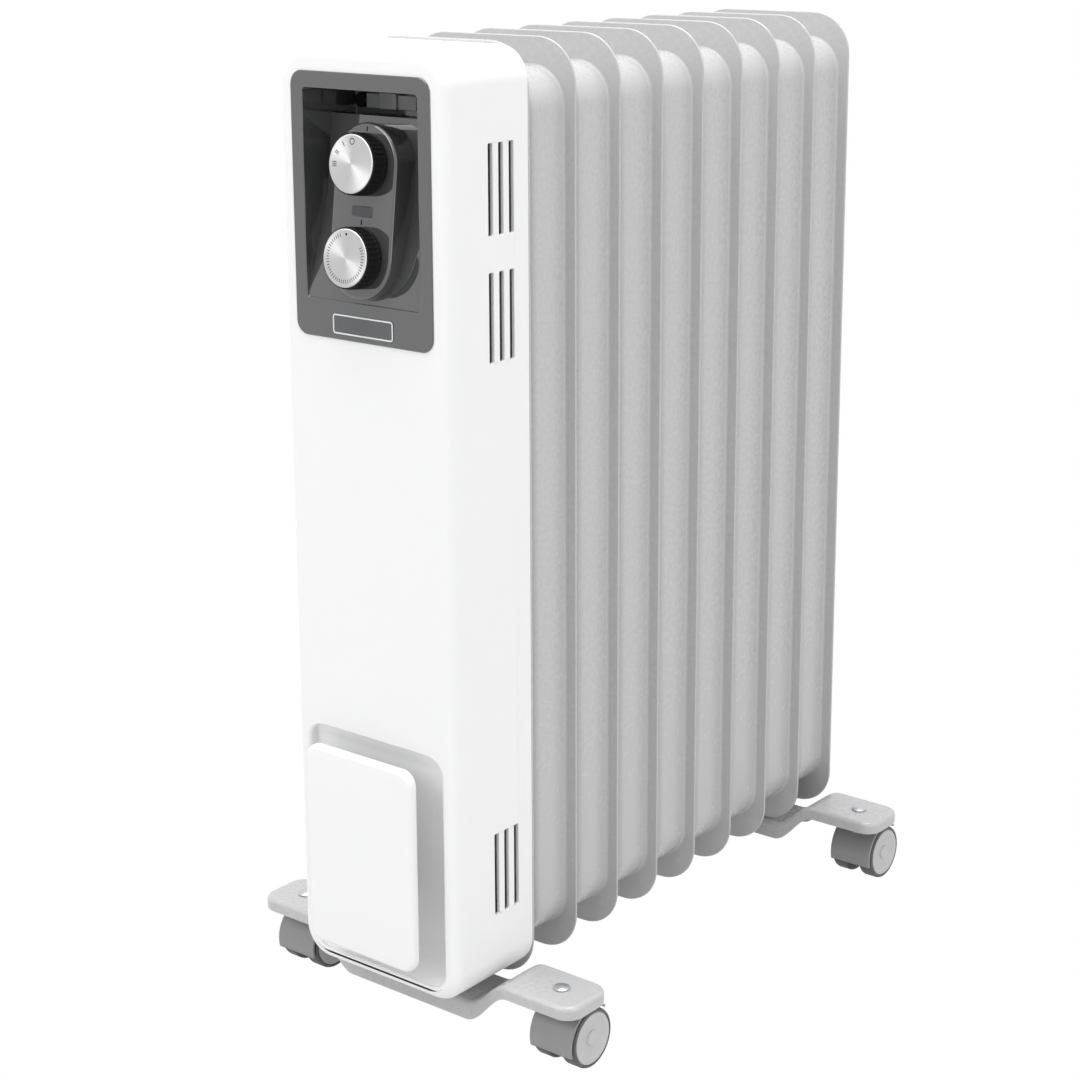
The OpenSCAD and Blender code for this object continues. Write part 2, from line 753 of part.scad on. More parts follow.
// ---------------------------------------------------------------- feet

hood_gap = 1.2;                               // gap between a wheel's tread and the hood
hood_t = 1.8;
hood_r = wheel_r + hood_gap + hood_t;
foot_low = wheel_r + hood_r + foot_clear;     // lower edge of a foot's flat ends
foot_top = foot_low + foot_skirt;
foot_r = 12;
foot_bolt_x = [-24, 24];
foot_bolt_r = 3;
foot_bolt_head_r = 5.8;
foot_bolt_head_t = 4;
foot_nut_t = 5;
foot_bolt_tail = 8;
flat_out = 16.6;                              // from the elements' side out to the flat ends
cradle_in = 17.4;                             // from the elements' side in to the cradle's end
flat_half = body_w / 2 + flat_out;            // where the flat ends begin, from the middle
cradle_half = body_w / 2 - cradle_in;         // where the level cradle ends
cradle_top = fin_lift;
cradle_low = 20.5;
foot_steps = 14;
stem_x = foot_l / 2 - stem_inset;
stem_hole_gap = 0.6;
rear_foot_y = rim_y(fin_count - 1) + 14.4;
u_bolt_y = rim_y(fin_count - 1) + chamber_gap / 2;
u_bolt_r = 3;
u_bolt_tail = 2;                              // height of the thread ends above the cradle's edge

// Smooth step from 0 in the cradle to 1 at the flat ends
function s_step(x) = abs(x) >= flat_half ? 1 : abs(x) <= cradle_half ? 0
    : (1 - cos(180 * (abs(x) - cradle_half) / (flat_half - cradle_half))) / 2;
step_xs = [for (i = [0:foot_steps]) cradle_half + (flat_half - cradle_half) * i / foot_steps];
function foot_xs(l) = concat([-l], [for (i = [foot_steps:-1:0]) -step_xs[i]], step_xs, [l]);

// A foot's side view: its top curve lowered by d, down to its lower curve or, if open, the floor
module foot_side(l, d, open) {
    xs = foot_xs(l);
    top = [for (x = xs) [x, cradle_top + (foot_top - cradle_top) * s_step(x) - d]];
    low = [for (i = [len(xs) - 1:-1:0])
        [xs[i], open ? 0 : cradle_low + (foot_low - cradle_low) * s_step(xs[i])]];
    polygon(concat(top, low));
}

module foot_block(inset, d, open) {
    intersection() {
        translate([0, foot_w / 2 - inset, 0]) rotate([90, 0, 0])
            linear_extrude(foot_w - 2 * inset) foot_side(foot_l / 2 - inset, d, open);
        linear_extrude(foot_top + 1) round_rect(foot_l - 2 * inset, foot_w - 2 * inset, foot_r - inset);
    }
}

// Pressed channel, open below, with a hole for each caster stem and each bolt
module foot(y, bolt_y, bolt_r) {
    color(foot_grey) placed() translate([0, y, 0]) difference() {
        foot_block(0, 0, false);
        foot_block(foot_t, foot_t, true);
        for (s = [-1, 1])
            translate([s * stem_x, 0, 0]) cylinder(r = stem_r + stem_hole_gap, h = foot_top + 1);
        for (x = foot_bolt_x) translate([x, bolt_y - y, 0]) cylinder(r = bolt_r + bolt_gap, h = foot_top);
    }
}

module front_foot() { foot(front_foot_y, front_foot_y, foot_bolt_r); }
module rear_foot() { foot(rear_foot_y, u_bolt_y, u_bolt_r); }

spacer_r = 7;
module foot_spacers() {
    h = housing_lift - cradle_top;
    color(steel) placed() for (x = foot_bolt_x) translate([x, front_foot_y, cradle_top]) difference() {
        cylinder(r = spacer_r, h = h);
        translate([0, 0, -1]) cylinder(r = foot_bolt_r + bolt_gap, h = h + 2);
    }
}

// Hexagon bolts up through the foot, the spacer, the housing's floor and the chassis bracket
module foot_bolts() {
    head_z = cradle_top - foot_t;
    nut_z = bracket_z + bracket_t;
    color(steel) placed() for (x = foot_bolt_x) translate([x, front_foot_y, 0]) {
        translate([0, 0, head_z - foot_bolt_head_t])
            cylinder(r = foot_bolt_head_r, h = foot_bolt_head_t, $fn = 6);
        translate([0, 0, head_z]) cylinder(r = foot_bolt_r, h = nut_z + foot_bolt_tail - head_z);
        translate([0, 0, nut_z]) difference() {
            cylinder(r = foot_bolt_head_r, h = foot_nut_t, $fn = 6);
            translate([0, 0, -1]) cylinder(r = foot_bolt_r + run_gap, h = foot_nut_t + 2);
        }
    }
}

// U bolt over the lower hub collar, between the last two elements
module u_bolt() {
    bend_r = foot_bolt_x[1];
    low = cradle_low + u_bolt_tail;
    color(steel) placed() translate([0, u_bolt_y, 0]) {
        for (s = [-1, 1]) translate([s * bend_r, 0, low]) cylinder(r = u_bolt_r, h = hub_low - low);
        translate([0, 0, hub_low]) rotate([90, 0, 0]) rotate_extrude(angle = 180)
            translate([bend_r, 0]) circle(r = u_bolt_r);
    }
}

wing_hub_r = 5.2;
wing_h = 6;
wing_r = 4.2;
wing_x = 8;
wing_t = 2;
module wing_nuts() {
    top = cradle_top - foot_t;
    color(steel) placed() for (x = foot_bolt_x) translate([x, u_bolt_y, top - wing_h]) difference() {
        union() {
            cylinder(r = wing_hub_r, h = wing_h);
            for (s = [-1, 1]) translate([s * wing_x, wing_t / 2, wing_h - wing_r - 0.3]) rotate([90, 0, 0])
                cylinder(r = wing_r, h = wing_t);
        }
        translate([0, 0, -wing_r]) cylinder(r = u_bolt_r + run_gap, h = wing_h + 2 * wing_r);
    }
}

bush_r = 7;
bush_low = foot_low + pass_gap;
module stem_bushes() {
    h = foot_top - foot_t - bush_low;
    color(black) placed() for (y = [front_foot_y, rear_foot_y])
        for (s = [-1, 1]) translate([s * stem_x, y, bush_low]) difference() {
            cylinder(r = bush_r, h = h);
            translate([0, 0, -1]) cylinder(r = stem_r + run_gap, h = h + 2);
        }
}

// ---------------------------------------------------------------- casters

web_w = caster_w - 2 * wheel_w - 2 * pass_gap;
hood_side = 0.3;                              // how far a wheel's outer face stands out of the hood
hood_w = caster_w - 2 * hood_side;
hood_hem = 6;                                 // how far the hood reaches below the axle
hood_back = 38;                               // lean of the hood's rear edge
web_back = 8;
pin_fit = 0.02;
boss_top = bush_low - pass_gap;
stem_low = wheel_r + 10;
stem_flange = 1.5;
stem_flange_t = 2;
stem_dome_r = 11;
wheel_face_t = 1.6;
wheel_edge = 1.6;
wheel_dish = 5;
wheel_tread = 3;
axle_half = caster_w / 2 - wheel_face_t - pass_gap;

function caster_at(c) = [(c == "front_left" || c == "rear_left" ? -1 : 1) * stem_x,
    c == "front_left" || c == "front_right" ? front_foot_y : rear_foot_y, 0];

// Puts a child on a caster's axle line, drawn with its axis along X
module on_axle(c) { translate(caster_at(c) + [0, trail, wheel_r]) children(); }

module x_rod(r, l, x0) { translate([x0, 0, 0]) rotate([90, 0, 90]) cylinder(r = r, h = l); }

// Hood: a cover over the treads on the stem's side, a web between the wheels and a stem boss
module hood(c) {
    boss_low = wheel_r + 8;
    color(caster_grey) placed() difference() {
        union() {
            on_axle(c) difference() {
                x_rod(hood_r, hood_w, -hood_w / 2);
                x_rod(hood_r - hood_t, hood_w + 2, -hood_w / 2 - 1);
                translate([-hood_w, -2 * hood_r, -2 * hood_r - hood_hem])
                    cube([2 * hood_w, 4 * hood_r, 2 * hood_r]);
                rotate([-hood_back, 0, 0]) translate([-hood_w, 0, -2 * hood_r])
                    cube([2 * hood_w, 2 * hood_r, 4 * hood_r]);
            }
            on_axle(c) intersection() {
                x_rod(hood_r - hood_t / 2, web_w, -web_w / 2);
                translate([-hood_w, -hood_r, -hood_hem]) cube([2 * hood_w, hood_r + web_back, 2 * hood_r]);
            }
            translate(caster_at(c) + [0, 0, boss_low]) cylinder(r = web_w / 2, h = boss_top - boss_low);
        }
        on_axle(c) for (s = [0, 1]) mirror([s, 0, 0]) x_rod(wheel_r + pass_gap, wheel_w + 2, web_w / 2);
        on_axle(c) x_rod(axle_r + pin_fit, web_w + 2, -web_w / 2 - 1);
        translate(caster_at(c) + [0, 0, stem_low]) cylinder(r = stem_r + pin_fit, h = boss_top);
    }
}

// Steel pins of one caster: the stem with its domed flange, and the axle
module pins(c) {
    z_head = foot_top + pass_gap;
    z0 = stem_low + pass_gap;
    color(steel) placed() {
        translate(caster_at(c) + [0, 0, z0]) cylinder(r = stem_r, h = z_head - z0);
        translate(caster_at(c) + [0, 0, z_head]) intersection() {
            cylinder(r = stem_r + stem_flange, h = stem_flange_t);
            translate([0, 0, stem_flange_t - stem_dome_r]) sphere(r = stem_dome_r);
        }
        on_axle(c) x_rod(axle_r, 2 * axle_half, -axle_half);
    }
}

// One wheel: a tread with rounded edges, a dished web and a closed outer face
module wheel(c, side) {
    color(caster_grey) placed() on_axle(c)
        translate([side * (web_w / 2 + pass_gap), 0, 0]) rotate([0, side * 90, 0]) difference() {
            rotate_extrude() {
                square([wheel_r - wheel_edge, wheel_w]);
                translate([0, wheel_edge]) square([wheel_r, wheel_w - 2 * wheel_edge]);
                for (h = [wheel_edge, wheel_w - wheel_edge])
                    translate([wheel_r - wheel_edge, h]) circle(r = wheel_edge, $fn = 32);
            }
            translate([0, 0, -1]) cylinder(r = axle_r + run_gap, h = wheel_w - wheel_face_t + 1);
            translate([0, 0, -1]) difference() {
                cylinder(r = wheel_r - wheel_tread, h = wheel_dish + 1);
                translate([0, 0, -1]) cylinder(r = 2 * axle_r, h = wheel_dish + 3);
            }
        }
}

housing();
control_panel();
timer_blank();
badge_plate();
lamp_lens();
lamp_body();
power_switch();
thermostat();
chassis_bracket();
bracket_screws();
housing_screws();
end_plate();
for (k = [1:fin_count]) fin(k);
hub_collars();
hub_plugs();
heating_element();
thermal_cutout();
tip_over_switch();
terminal_block();
wiring_loom();
cord_plate();
cord_post();
cord_inlet();
front_foot();
rear_foot();
foot_spacers();
foot_bolts();
u_bolt();
wing_nuts();
stem_bushes();
power_knob();
power_cap();
power_shaft();
thermostat_knob();
thermostat_cap();
thermostat_shaft();
for (c = CASTERS) {
    hood(c);
    pins(c);
    wheel(c, -1);
    wheel(c, 1);
}
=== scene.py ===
import json
import math

import bmesh
import bpy
from bpy.props import FloatProperty, FloatVectorProperty, IntProperty, PointerProperty
from mathutils import Matrix, Vector


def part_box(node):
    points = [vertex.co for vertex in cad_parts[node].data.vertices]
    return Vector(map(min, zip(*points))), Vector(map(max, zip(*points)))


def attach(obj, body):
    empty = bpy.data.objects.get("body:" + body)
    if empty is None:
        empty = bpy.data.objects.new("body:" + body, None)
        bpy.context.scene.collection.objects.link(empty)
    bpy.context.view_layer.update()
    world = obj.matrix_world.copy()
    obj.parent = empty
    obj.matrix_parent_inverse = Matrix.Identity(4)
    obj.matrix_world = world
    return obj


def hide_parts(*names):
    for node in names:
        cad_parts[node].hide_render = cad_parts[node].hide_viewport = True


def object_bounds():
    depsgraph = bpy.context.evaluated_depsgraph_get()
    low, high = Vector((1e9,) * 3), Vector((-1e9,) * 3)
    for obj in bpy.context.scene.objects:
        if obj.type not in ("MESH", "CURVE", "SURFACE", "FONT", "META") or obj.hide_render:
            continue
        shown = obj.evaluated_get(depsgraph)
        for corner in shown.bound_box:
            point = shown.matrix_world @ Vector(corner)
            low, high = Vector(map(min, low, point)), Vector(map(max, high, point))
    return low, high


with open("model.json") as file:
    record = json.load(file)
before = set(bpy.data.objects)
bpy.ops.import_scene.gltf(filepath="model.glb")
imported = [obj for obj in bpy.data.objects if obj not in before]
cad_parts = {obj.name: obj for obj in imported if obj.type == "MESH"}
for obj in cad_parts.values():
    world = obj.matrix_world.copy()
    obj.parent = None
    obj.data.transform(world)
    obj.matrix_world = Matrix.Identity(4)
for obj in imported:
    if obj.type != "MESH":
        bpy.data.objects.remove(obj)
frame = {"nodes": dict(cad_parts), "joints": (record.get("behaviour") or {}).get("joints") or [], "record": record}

bl_info = {
    "name": "Oil filled radiator heater",
    "version": (1, 0, 0),
    "blender": (4, 5, 0),
    "location": "3D View > Sidebar > Heater",
    "description": "Builds the shaped pieces, the finishes and the studio of an oil filled radiator heater",
    "category": "Add Mesh",
}

MM = 0.001
CAD_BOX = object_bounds()
JOINTS = {joint["name"]: joint for joint in frame["joints"]}
SLOT_OF = {part["node"]: part["material_slot"] for part in frame["record"]["subparts"]}
BODY_OF = {node: body for body, nodes in frame["record"]["behaviour"]["bodies"].items() for node in nodes}
ELEMENTS = sorted(name for name in frame["nodes"] if name.startswith("fin_"))
CASTERS = sorted(name[: -len("_hood")] for name in frame["nodes"] if name.endswith("_hood"))
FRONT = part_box("housing")[0].y            # plane of the housing's front face
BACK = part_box("housing")[1].y             # plane of the end plate's front face
TIP = MM * 0.01                           # a hair's breadth, for prints and seats


def length(name, description, default):
    """A size in the sidebar; the default is in millimetres."""
    return FloatProperty(name=name, description=description, default=default * MM, unit="LENGTH")


def angle(name, description, default):
    """An angle in the sidebar; the default is in degrees."""
    return FloatProperty(name=name, description=description, default=math.radians(default), unit="ROTATION")


def colour(name, description, default):
    """A finish colour in the sidebar, in linear light."""
    return FloatVectorProperty(name=name, description=description, default=default, size=3,
                               min=0, max=1, subtype="COLOR")


def amount(name, description, default):
    """A plain number in the sidebar."""
    return FloatProperty(name=name, description=description, default=default, min=0)


class HeaterSizes(bpy.types.PropertyGroup):
    """Sizes of the shaped pieces, beside those that the frame gives"""
    housing_corner: length("Housing corner", "Corner radius of the housing seen from the front", 21)
    housing_rounding: length("Housing rounding", "Rounding of the housing's front edge", 7.5)
    housing_wall: length("Housing wall", "Wall of the housing", 2.5)
    vent_length: length("Vent length", "Length of a side vent slot", 55)
    vent_width: length("Vent width", "Width of a side vent slot", 4.4)
    vent_corner: length("Vent corner", "Corner radius of a side vent slot", 1)
    vent_pitch: length("Vent pitch", "Distance between neighbouring vent slots", 9.65)
    vent_middle: length("Vent middle", "Distance from the housing's front to the middle slot", 48.9)
    cord_recess_side: length("Cord recess side", "Housing side to the side of the cord recess", 11.8)
    cord_recess_lip: length("Cord recess lip", "Housing underside to the cord recess", 8.6)
    cord_recess_height: length("Cord recess height", "Height of the cord recess", 156)
    cord_recess_corner: length("Cord recess corner", "Corner radius of the cord recess", 12)
    cord_recess_depth: length("Cord recess depth", "Depth of the cord recess", 23)
    panel_corner: length("Panel corner", "Corner radius of the control panel", 9)
    panel_proud: length("Panel proud", "How far the panel stands proud of the housing", 1)
    panel_lip: length("Panel lip", "Overlap of the panel on the housing", 5)
    recess_side: length("Recess side", "Panel side to the side of its recess", 9.8)
    recess_drop: length("Recess drop", "Panel top to the top of its recess", 10.2)
    recess_foot: length("Recess foot", "Panel lower edge to its recess", 24)
    recess_floor: length("Recess floor", "Control face back to the floor of the recess", 17.5)
    recess_ramp: length("Recess ramp", "Height of the slope at the lower end of the recess", 56)
    slot_height: length("Slot height", "Height of the deep slot at the top of the recess", 17)
    island_radius: length("Island radius", "Radius of the raised island round the knobs", 25)
    flute_depth: length("Flute depth", "Depth of the flutes of a knob", 0.75)
    flute_count: IntProperty(name="Flute count", description="Number of flutes round a knob", default=36)
    element_corner: length("Element corner", "Corner radius of an element's rim", 29.4)
    element_rim: length("Element rim", "Thickness of an element's welded rim", 1.6)
    chamber_side: length("Chamber side", "Rim edge in to the side wall of the oil chamber", 9)
    chamber_end: length("Chamber end", "Rim edge in to the top and bottom of the oil chamber", 18.5)
    chamber_corner: length("Chamber corner", "Corner radius of the oil chamber", 24)
    chamber_round: length("Chamber rounding", "Rounding of the oil chamber's front edge", 6)
    foot_corner: length("Foot corner", "Corner radius of a foot seen from above", 12)
    foot_rounding: length("Foot rounding", "Rounding of a foot's upper edge", 3.2)
    foot_skirt: length("Foot skirt", "Depth of a foot's turned-down edge at its flat ends", 8.8)
    foot_sheet: length("Foot sheet", "Sheet thickness of a foot", 1.6)
    cradle_half: length("Cradle half", "Middle of a foot to the end of its level cradle", 50)
    flat_half: length("Flat half", "Middle of a foot to the start of its flat ends", 84)
    hood_sheet: length("Hood sheet", "Thickness of a caster's hood", 1.8)


class HeaterColours(bpy.types.PropertyGroup):
    """Colours of the finishes"""
    housing: colour("Housing", "White satin moulding", (0.86, 0.862, 0.862))
    element: colour("Element", "Enamel of the elements", (0.53, 0.53, 0.53))
    panel: colour("Panel", "Gloss dark moulding", (0.058, 0.059, 0.060))
    strip: colour("Strip", "Blanking strip in the slot", (0.36, 0.365, 0.37))
    badge: colour("Badge", "Blank badge plate", (0.10, 0.104, 0.11))
    border: colour("Border", "Raised border of the badge plate", (0.80, 0.81, 0.82))
    lamp: colour("Lamp", "Smoked lamp lens", (0.035, 0.035, 0.04))
    knob: colour("Knob", "Black of the knobs", (0.010, 0.010, 0.011))
    cap: colour("Cap", "Spun aluminium", (0.60, 0.60, 0.60))
    switch: colour("Switch", "Black of the switch bodies", (0.03, 0.03, 0.034))
    terminal: colour("Terminal", "Terminal block", (0.74, 0.72, 0.66))
    zinc: colour("Zinc", "Zinc plated steel", (0.62, 0.63, 0.65))
    copper: colour("Copper", "Heating element", (0.68, 0.40, 0.25))
    rubber: colour("Rubber", "Leads and grommet", (0.03, 0.03, 0.03))
    foot: colour("Foot", "Enamel of the feet", (0.50, 0.50, 0.50))
    caster: colour("Caster", "Grey of the casters", (0.54, 0.54, 0.543))
    hood: colour("Hood", "Darker grey of the hoods", (0.28, 0.28, 0.283))
    tyre: colour("Tyre", "Dark grey of the treads", (0.10, 0.10, 0.105))


class HeaterStudio(bpy.types.PropertyGroup):
    """Camera, lights and floor"""
    azimuth: angle("Azimuth", "Camera direction round the heater, from its front", 38.73)
    elevation: angle("Elevation", "Camera direction above the horizon", 13.59)
    roll: angle("Roll", "Camera turn about its own axis", -0.27)
    distance: length("Distance", "Camera to the middle of the heater, along its view", 1570.4)
    aside: length("Aside", "Camera to the right of that line", -28.6)
    above: length("Above", "Camera above that line", 44.9)
    lens: amount("Lens", "Focal length in millimetres on a 36 mm sensor", 75.97)
    lower: amount("Lower", "Lens shift downward, as a share of the width", 0.1)
    front_light: amount("Front light", "Power of the front softbox in watts", 16.5)
    side_light: amount("Side light", "Power of the side softbox in watts", 14.3)
    top_light: amount("Top light", "Power of the top softbox in watts", 56)
    surround: amount("Surround", "Strength of the white surround", 0.66)
    floor: colour("Floor", "Pale floor", (0.62, 0.62, 0.62))


# ---------------------------------------------------------------- mesh tools


def spread(first, last, count):
    """count + 1 even values from first to last."""
    return [first + (last - first) * i / count for i in range(count + 1)]


def outline(half_w, half_h, radius, corner=8, rows=()):
    """Points of a rectangle with round corners. They start at the lower right corner, go up the
    right side and come down the left side, so point i mirrors point -1 - i."""
    radius = min(radius, half_w, half_h)
    cu, cv = half_w - radius, half_h - radius
    turn = spread(0, math.pi / 2, corner)
    right = [(cu + radius * math.sin(t), -cv - radius * math.cos(t)) for t in turn]
    right += [(half_w, v) for v in rows]
    right += [(cu + radius * math.cos(t), cv + radius * math.sin(t)) for t in turn]
    return right + [(-u, v) for u, v in reversed(right)]


def ring(bm, points):
    return [bm.verts.new(point) for point in points]


def skin(bm, rings, skip=(), material=0):
    """Faces between neighbouring rings; a ring of one vertex is a point."""
    for a, b in zip(rings, rings[1:]):
        count = max(len(a), len(b))
        for i in range(count):
            if i in skip:
                continue
            j = (i + 1) % count
            corners = [a[i % len(a)], a[j % len(a)], b[j % len(b)], b[i % len(b)]]
            bm.faces.new(list(dict.fromkeys(corners))).material_index = material


def fill_across(bm, loop, material=0):
    """Closes a ring with strips between its mirrored points."""
    last = len(loop) - 1
    for i in range(len(loop) // 2 - 1):
        bm.faces.new((loop[i], loop[i + 1], loop[last - i - 1], loop[last - i])).material_index = material


def fill_flat(bm, normal, *loops):
    """Fills the plane between an outer loop and the loops of its openings."""
    edges = []
    for loop in loops:
        for a, b in zip(loop, loop[1:] + loop[:1]):
            edges.append(bm.edges.get((a, b)) or bm.edges.new((a, b)))
    bmesh.ops.triangle_fill(bm, use_beauty=True, edges=edges, normal=normal)


def lathe(bm, place, profile, steps, material=0):
    """Turns a profile of (radius, height) points about the place's own +Z."""
    rings = []
    for radius, height in profile:
        turns = [2 * math.pi * i / steps for i in range(steps)] if radius > TIP else [0]
        rings.append(ring(bm, [place @ Vector((radius * math.cos(t), radius * math.sin(t), height))
                               for t in turns]))
    skin(bm, rings, material=material)


def rounded_end(radius, height, count=5):
    """(inset, height) pairs of a convex quarter round that ends at height and starts one radius
    below it; a negative radius starts above."""
    return [(abs(radius) * (1 - math.cos(t)), height - radius * (1 - math.sin(t)))
            for t in spread(0, math.pi / 2, count)]


def slab(bm, place, half_w, half_h, radius, back, front, edge, back_edge=0.0, crown=0.0, corner=6,
         material=0):
    """A closed plate with round corners and a rounded front edge; place takes (u, v, height)."""
    toward = 1 if front > back else -1
    sections = [(inset, height) for inset, height in reversed(rounded_end(-toward * back_edge, back, 3))] \
        if back_edge else [(0, back)]
    sections += rounded_end(toward * edge, front)
    if crown:
        reach = min(half_w, half_h) - edge
        sections += [(edge + reach * share, front + toward * crown * math.sin(share * math.pi / 2))
                     for share in (0.15, 0.35, 0.6)]
    rings = [ring(bm, [place(u, v, height) for u, v in
                       outline(half_w - inset, half_h - inset, max(radius - inset, TIP), corner)])
             for inset, height in sections]
    skin(bm, rings, material=material)
    fill_across(bm, rings[0], material)
    fill_across(bm, rings[-1], material)


def facing(mid_x, mid_z):
    """Placer of (u, v, y) points in the plane of the housing's front."""
    return lambda u, v, y: (mid_x + u, y, mid_z + v)


def local(matrix):
    """Placer of (u, v, height) points in a local frame."""
    return lambda u, v, height: matrix @ Vector((u, v, height))


def blend_min(a, b, reach):
    """The smaller of two depths, rounded over where they meet."""
    overlap = max(reach - abs(a - b), 0) / reach
    return min(a, b) - overlap * overlap * reach / 4


def wall_depth(inset, lip, slope):
    """Depth of a recess wall a distance in from its edge: a rounded lip, then a steep face."""
    turn = math.atan(slope)
    lip_end = lip * (math.sin(turn) - 1)
    if inset < lip_end:
        return lip - math.sqrt(max(lip * lip - (inset + lip) ** 2, 0))
    return lip * (1 - math.cos(turn)) + (inset - lip_end) * slope


def recess(bm, size, mid_z, face_y, depth_at, lip, slope, deepest, floor_round, rows):
    """A recess in a plane that faces -Y, with depth_at(z) as its floor; returns its outer ring."""
    half_w, half_h, radius = size
    turn = math.atan(slope)
    insets = [lip * (math.sin(t) - 1) for t in spread(0, turn, 6)]
    wall = deepest / slope
    insets += [insets[-1] + wall * share for share in (0.12, 0.25, 0.4, 0.55, 0.7, 0.85, 1)]
    insets += [insets[-1] + floor_round * share for share in (0.1, 0.25, 0.5, 1)]
    rings = []
    for inset in insets:
        points = []
        for u, v in outline(half_w - inset, half_h - inset, max(radius - inset, 0.3 * MM), 8, rows):
            depth = blend_min(wall_depth(inset, lip, slope), depth_at(mid_z + v), floor_round)
            points.append((u, face_y + max(depth, 0), mid_z + v))
        rings.append(ring(bm, points))
    skin(bm, rings)
    fill_across(bm, rings[-1])
    return rings[0]


def piece(bm, name, body, materials, replaces=(), at=None, shell=0.0, bevel=0.0, bevel_steps=2):
    """Makes an object of the mesh, puts it on its body and gives it its finish."""
    bmesh.ops.remove_doubles(bm, verts=bm.verts, dist=0.02 * TIP)
    bmesh.ops.recalc_face_normals(bm, faces=bm.faces)
    for face in bm.faces:
        face.smooth = True
    if not bevel:
        for edge in bm.edges:
            edge.smooth = edge.calc_face_angle(0) < math.radians(38)
    mesh = bpy.data.meshes.new(name)
    bm.to_mesh(mesh)
    bm.free()
    for finish in materials:
        mesh.materials.append(bpy.data.materials[finish])
    return place_mesh(mesh, name, body, replaces, at, shell, bevel, bevel_steps)


def place_mesh(mesh, name, body, replaces=(), at=None, shell=0.0, bevel=0.0, bevel_steps=2):
    obj = bpy.data.objects.new(name, mesh)
    bpy.context.collection.objects.link(obj)
    if at is not None:
        obj.matrix_world = at
    if shell:
        sheet = obj.modifiers.new("sheet", "SOLIDIFY")
        sheet.thickness = shell
        sheet.offset = -1
    if bevel:
        edge = obj.modifiers.new("edges", "BEVEL")
        edge.width = bevel
        edge.segments = bevel_steps
        edge.limit_method = "ANGLE"
        edge.angle_limit = math.radians(38)
        edge.use_clamp_overlap = False
    shading = obj.modifiers.new("shading", "WEIGHTED_NORMAL")
    shading.keep_sharp = True
    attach(obj, body)
    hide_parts(*replaces)
    return obj


def face_frame(joint):
    """Frame on the control face: +Z out of the face, +Y up it, its origin on the joint's axis."""
    out = -Vector(joint["axis"]).normalized()
    right = Vector((1, 0, 0))
    turn = Matrix((right, out.cross(right), out)).transposed().to_4x4()
    return Matrix.Translation(Vector(joint["pos_m"])) @ turn


# ---------------------------------------------------------------- finishes


def socket_maker(group):
    def add(name, way, kind, default=None):
        made = group.interface.new_socket(name, in_out=way, socket_type=kind)
        if default is not None:
            made.default_value = default
    return add


def moulded_surface():
    """Group: a fine grain over a slow drift of tone, as colour, roughness and height."""
    group = bpy.data.node_groups.new("Moulded surface", "ShaderNodeTree")
    add = socket_maker(group)
    add("Position", "INPUT", "NodeSocketVector")
    add("Colour", "INPUT", "NodeSocketColor")
    add("Drift colour", "INPUT", "NodeSocketColor")
    add("Drift scale", "INPUT", "NodeSocketFloat", 9.0)
    add("Grain scale", "INPUT", "NodeSocketFloat", 1500.0)
    add("Smoothest", "INPUT", "NodeSocketFloat", 0.3)
    add("Roughest", "INPUT", "NodeSocketFloat", 0.4)
    add("Colour", "OUTPUT", "NodeSocketColor")
    add("Roughness", "OUTPUT", "NodeSocketFloat")
    add("Height", "OUTPUT", "NodeSocketFloat")
    nodes, links = group.nodes, group.links
    source, sink = nodes.new("NodeGroupInput"), nodes.new("NodeGroupOutput")
    drift, grain = nodes.new("ShaderNodeTexNoise"), nodes.new("ShaderNodeTexNoise")
    drift.inputs["Detail"].default_value = 3
    grain.inputs["Detail"].default_value = 4
    grain.inputs["Roughness"].default_value = 0.55
    tone = nodes.new("ShaderNodeMix")
    tone.data_type = "RGBA"
    gloss = nodes.new("ShaderNodeMapRange")
    mixed = nodes.new("ShaderNodeMath")
    mixed.operation = "ADD"
    half = nodes.new("ShaderNodeMath")
    half.operation = "MULTIPLY"
    half.inputs[1].default_value = 0.5
    for texture, scale in ((drift, "Drift scale"), (grain, "Grain scale")):
        links.new(source.outputs["Position"], texture.inputs["Vector"])
        links.new(source.outputs[scale], texture.inputs["Scale"])
    links.new(drift.outputs["Fac"], tone.inputs["Factor"])
    links.new(source.outputs["Colour"], tone.inputs["A"])
    links.new(source.outputs["Drift colour"], tone.inputs["B"])
    links.new(drift.outputs["Fac"], mixed.inputs[0])
    links.new(grain.outputs["Fac"], mixed.inputs[1])
    links.new(mixed.outputs[0], half.inputs[0])
    links.new(half.outputs[0], gloss.inputs["Value"])
    gloss.inputs["From Min"].default_value = 0.35
    gloss.inputs["From Max"].default_value = 0.65
    links.new(source.outputs["Smoothest"], gloss.inputs["To Min"])
    links.new(source.outputs["Roughest"], gloss.inputs["To Max"])
    links.new(tone.outputs["Result"], sink.inputs["Colour"])
    links.new(gloss.outputs["Result"], sink.inputs["Roughness"])
    links.new(grain.outputs["Fac"], sink.inputs["Height"])
    return group


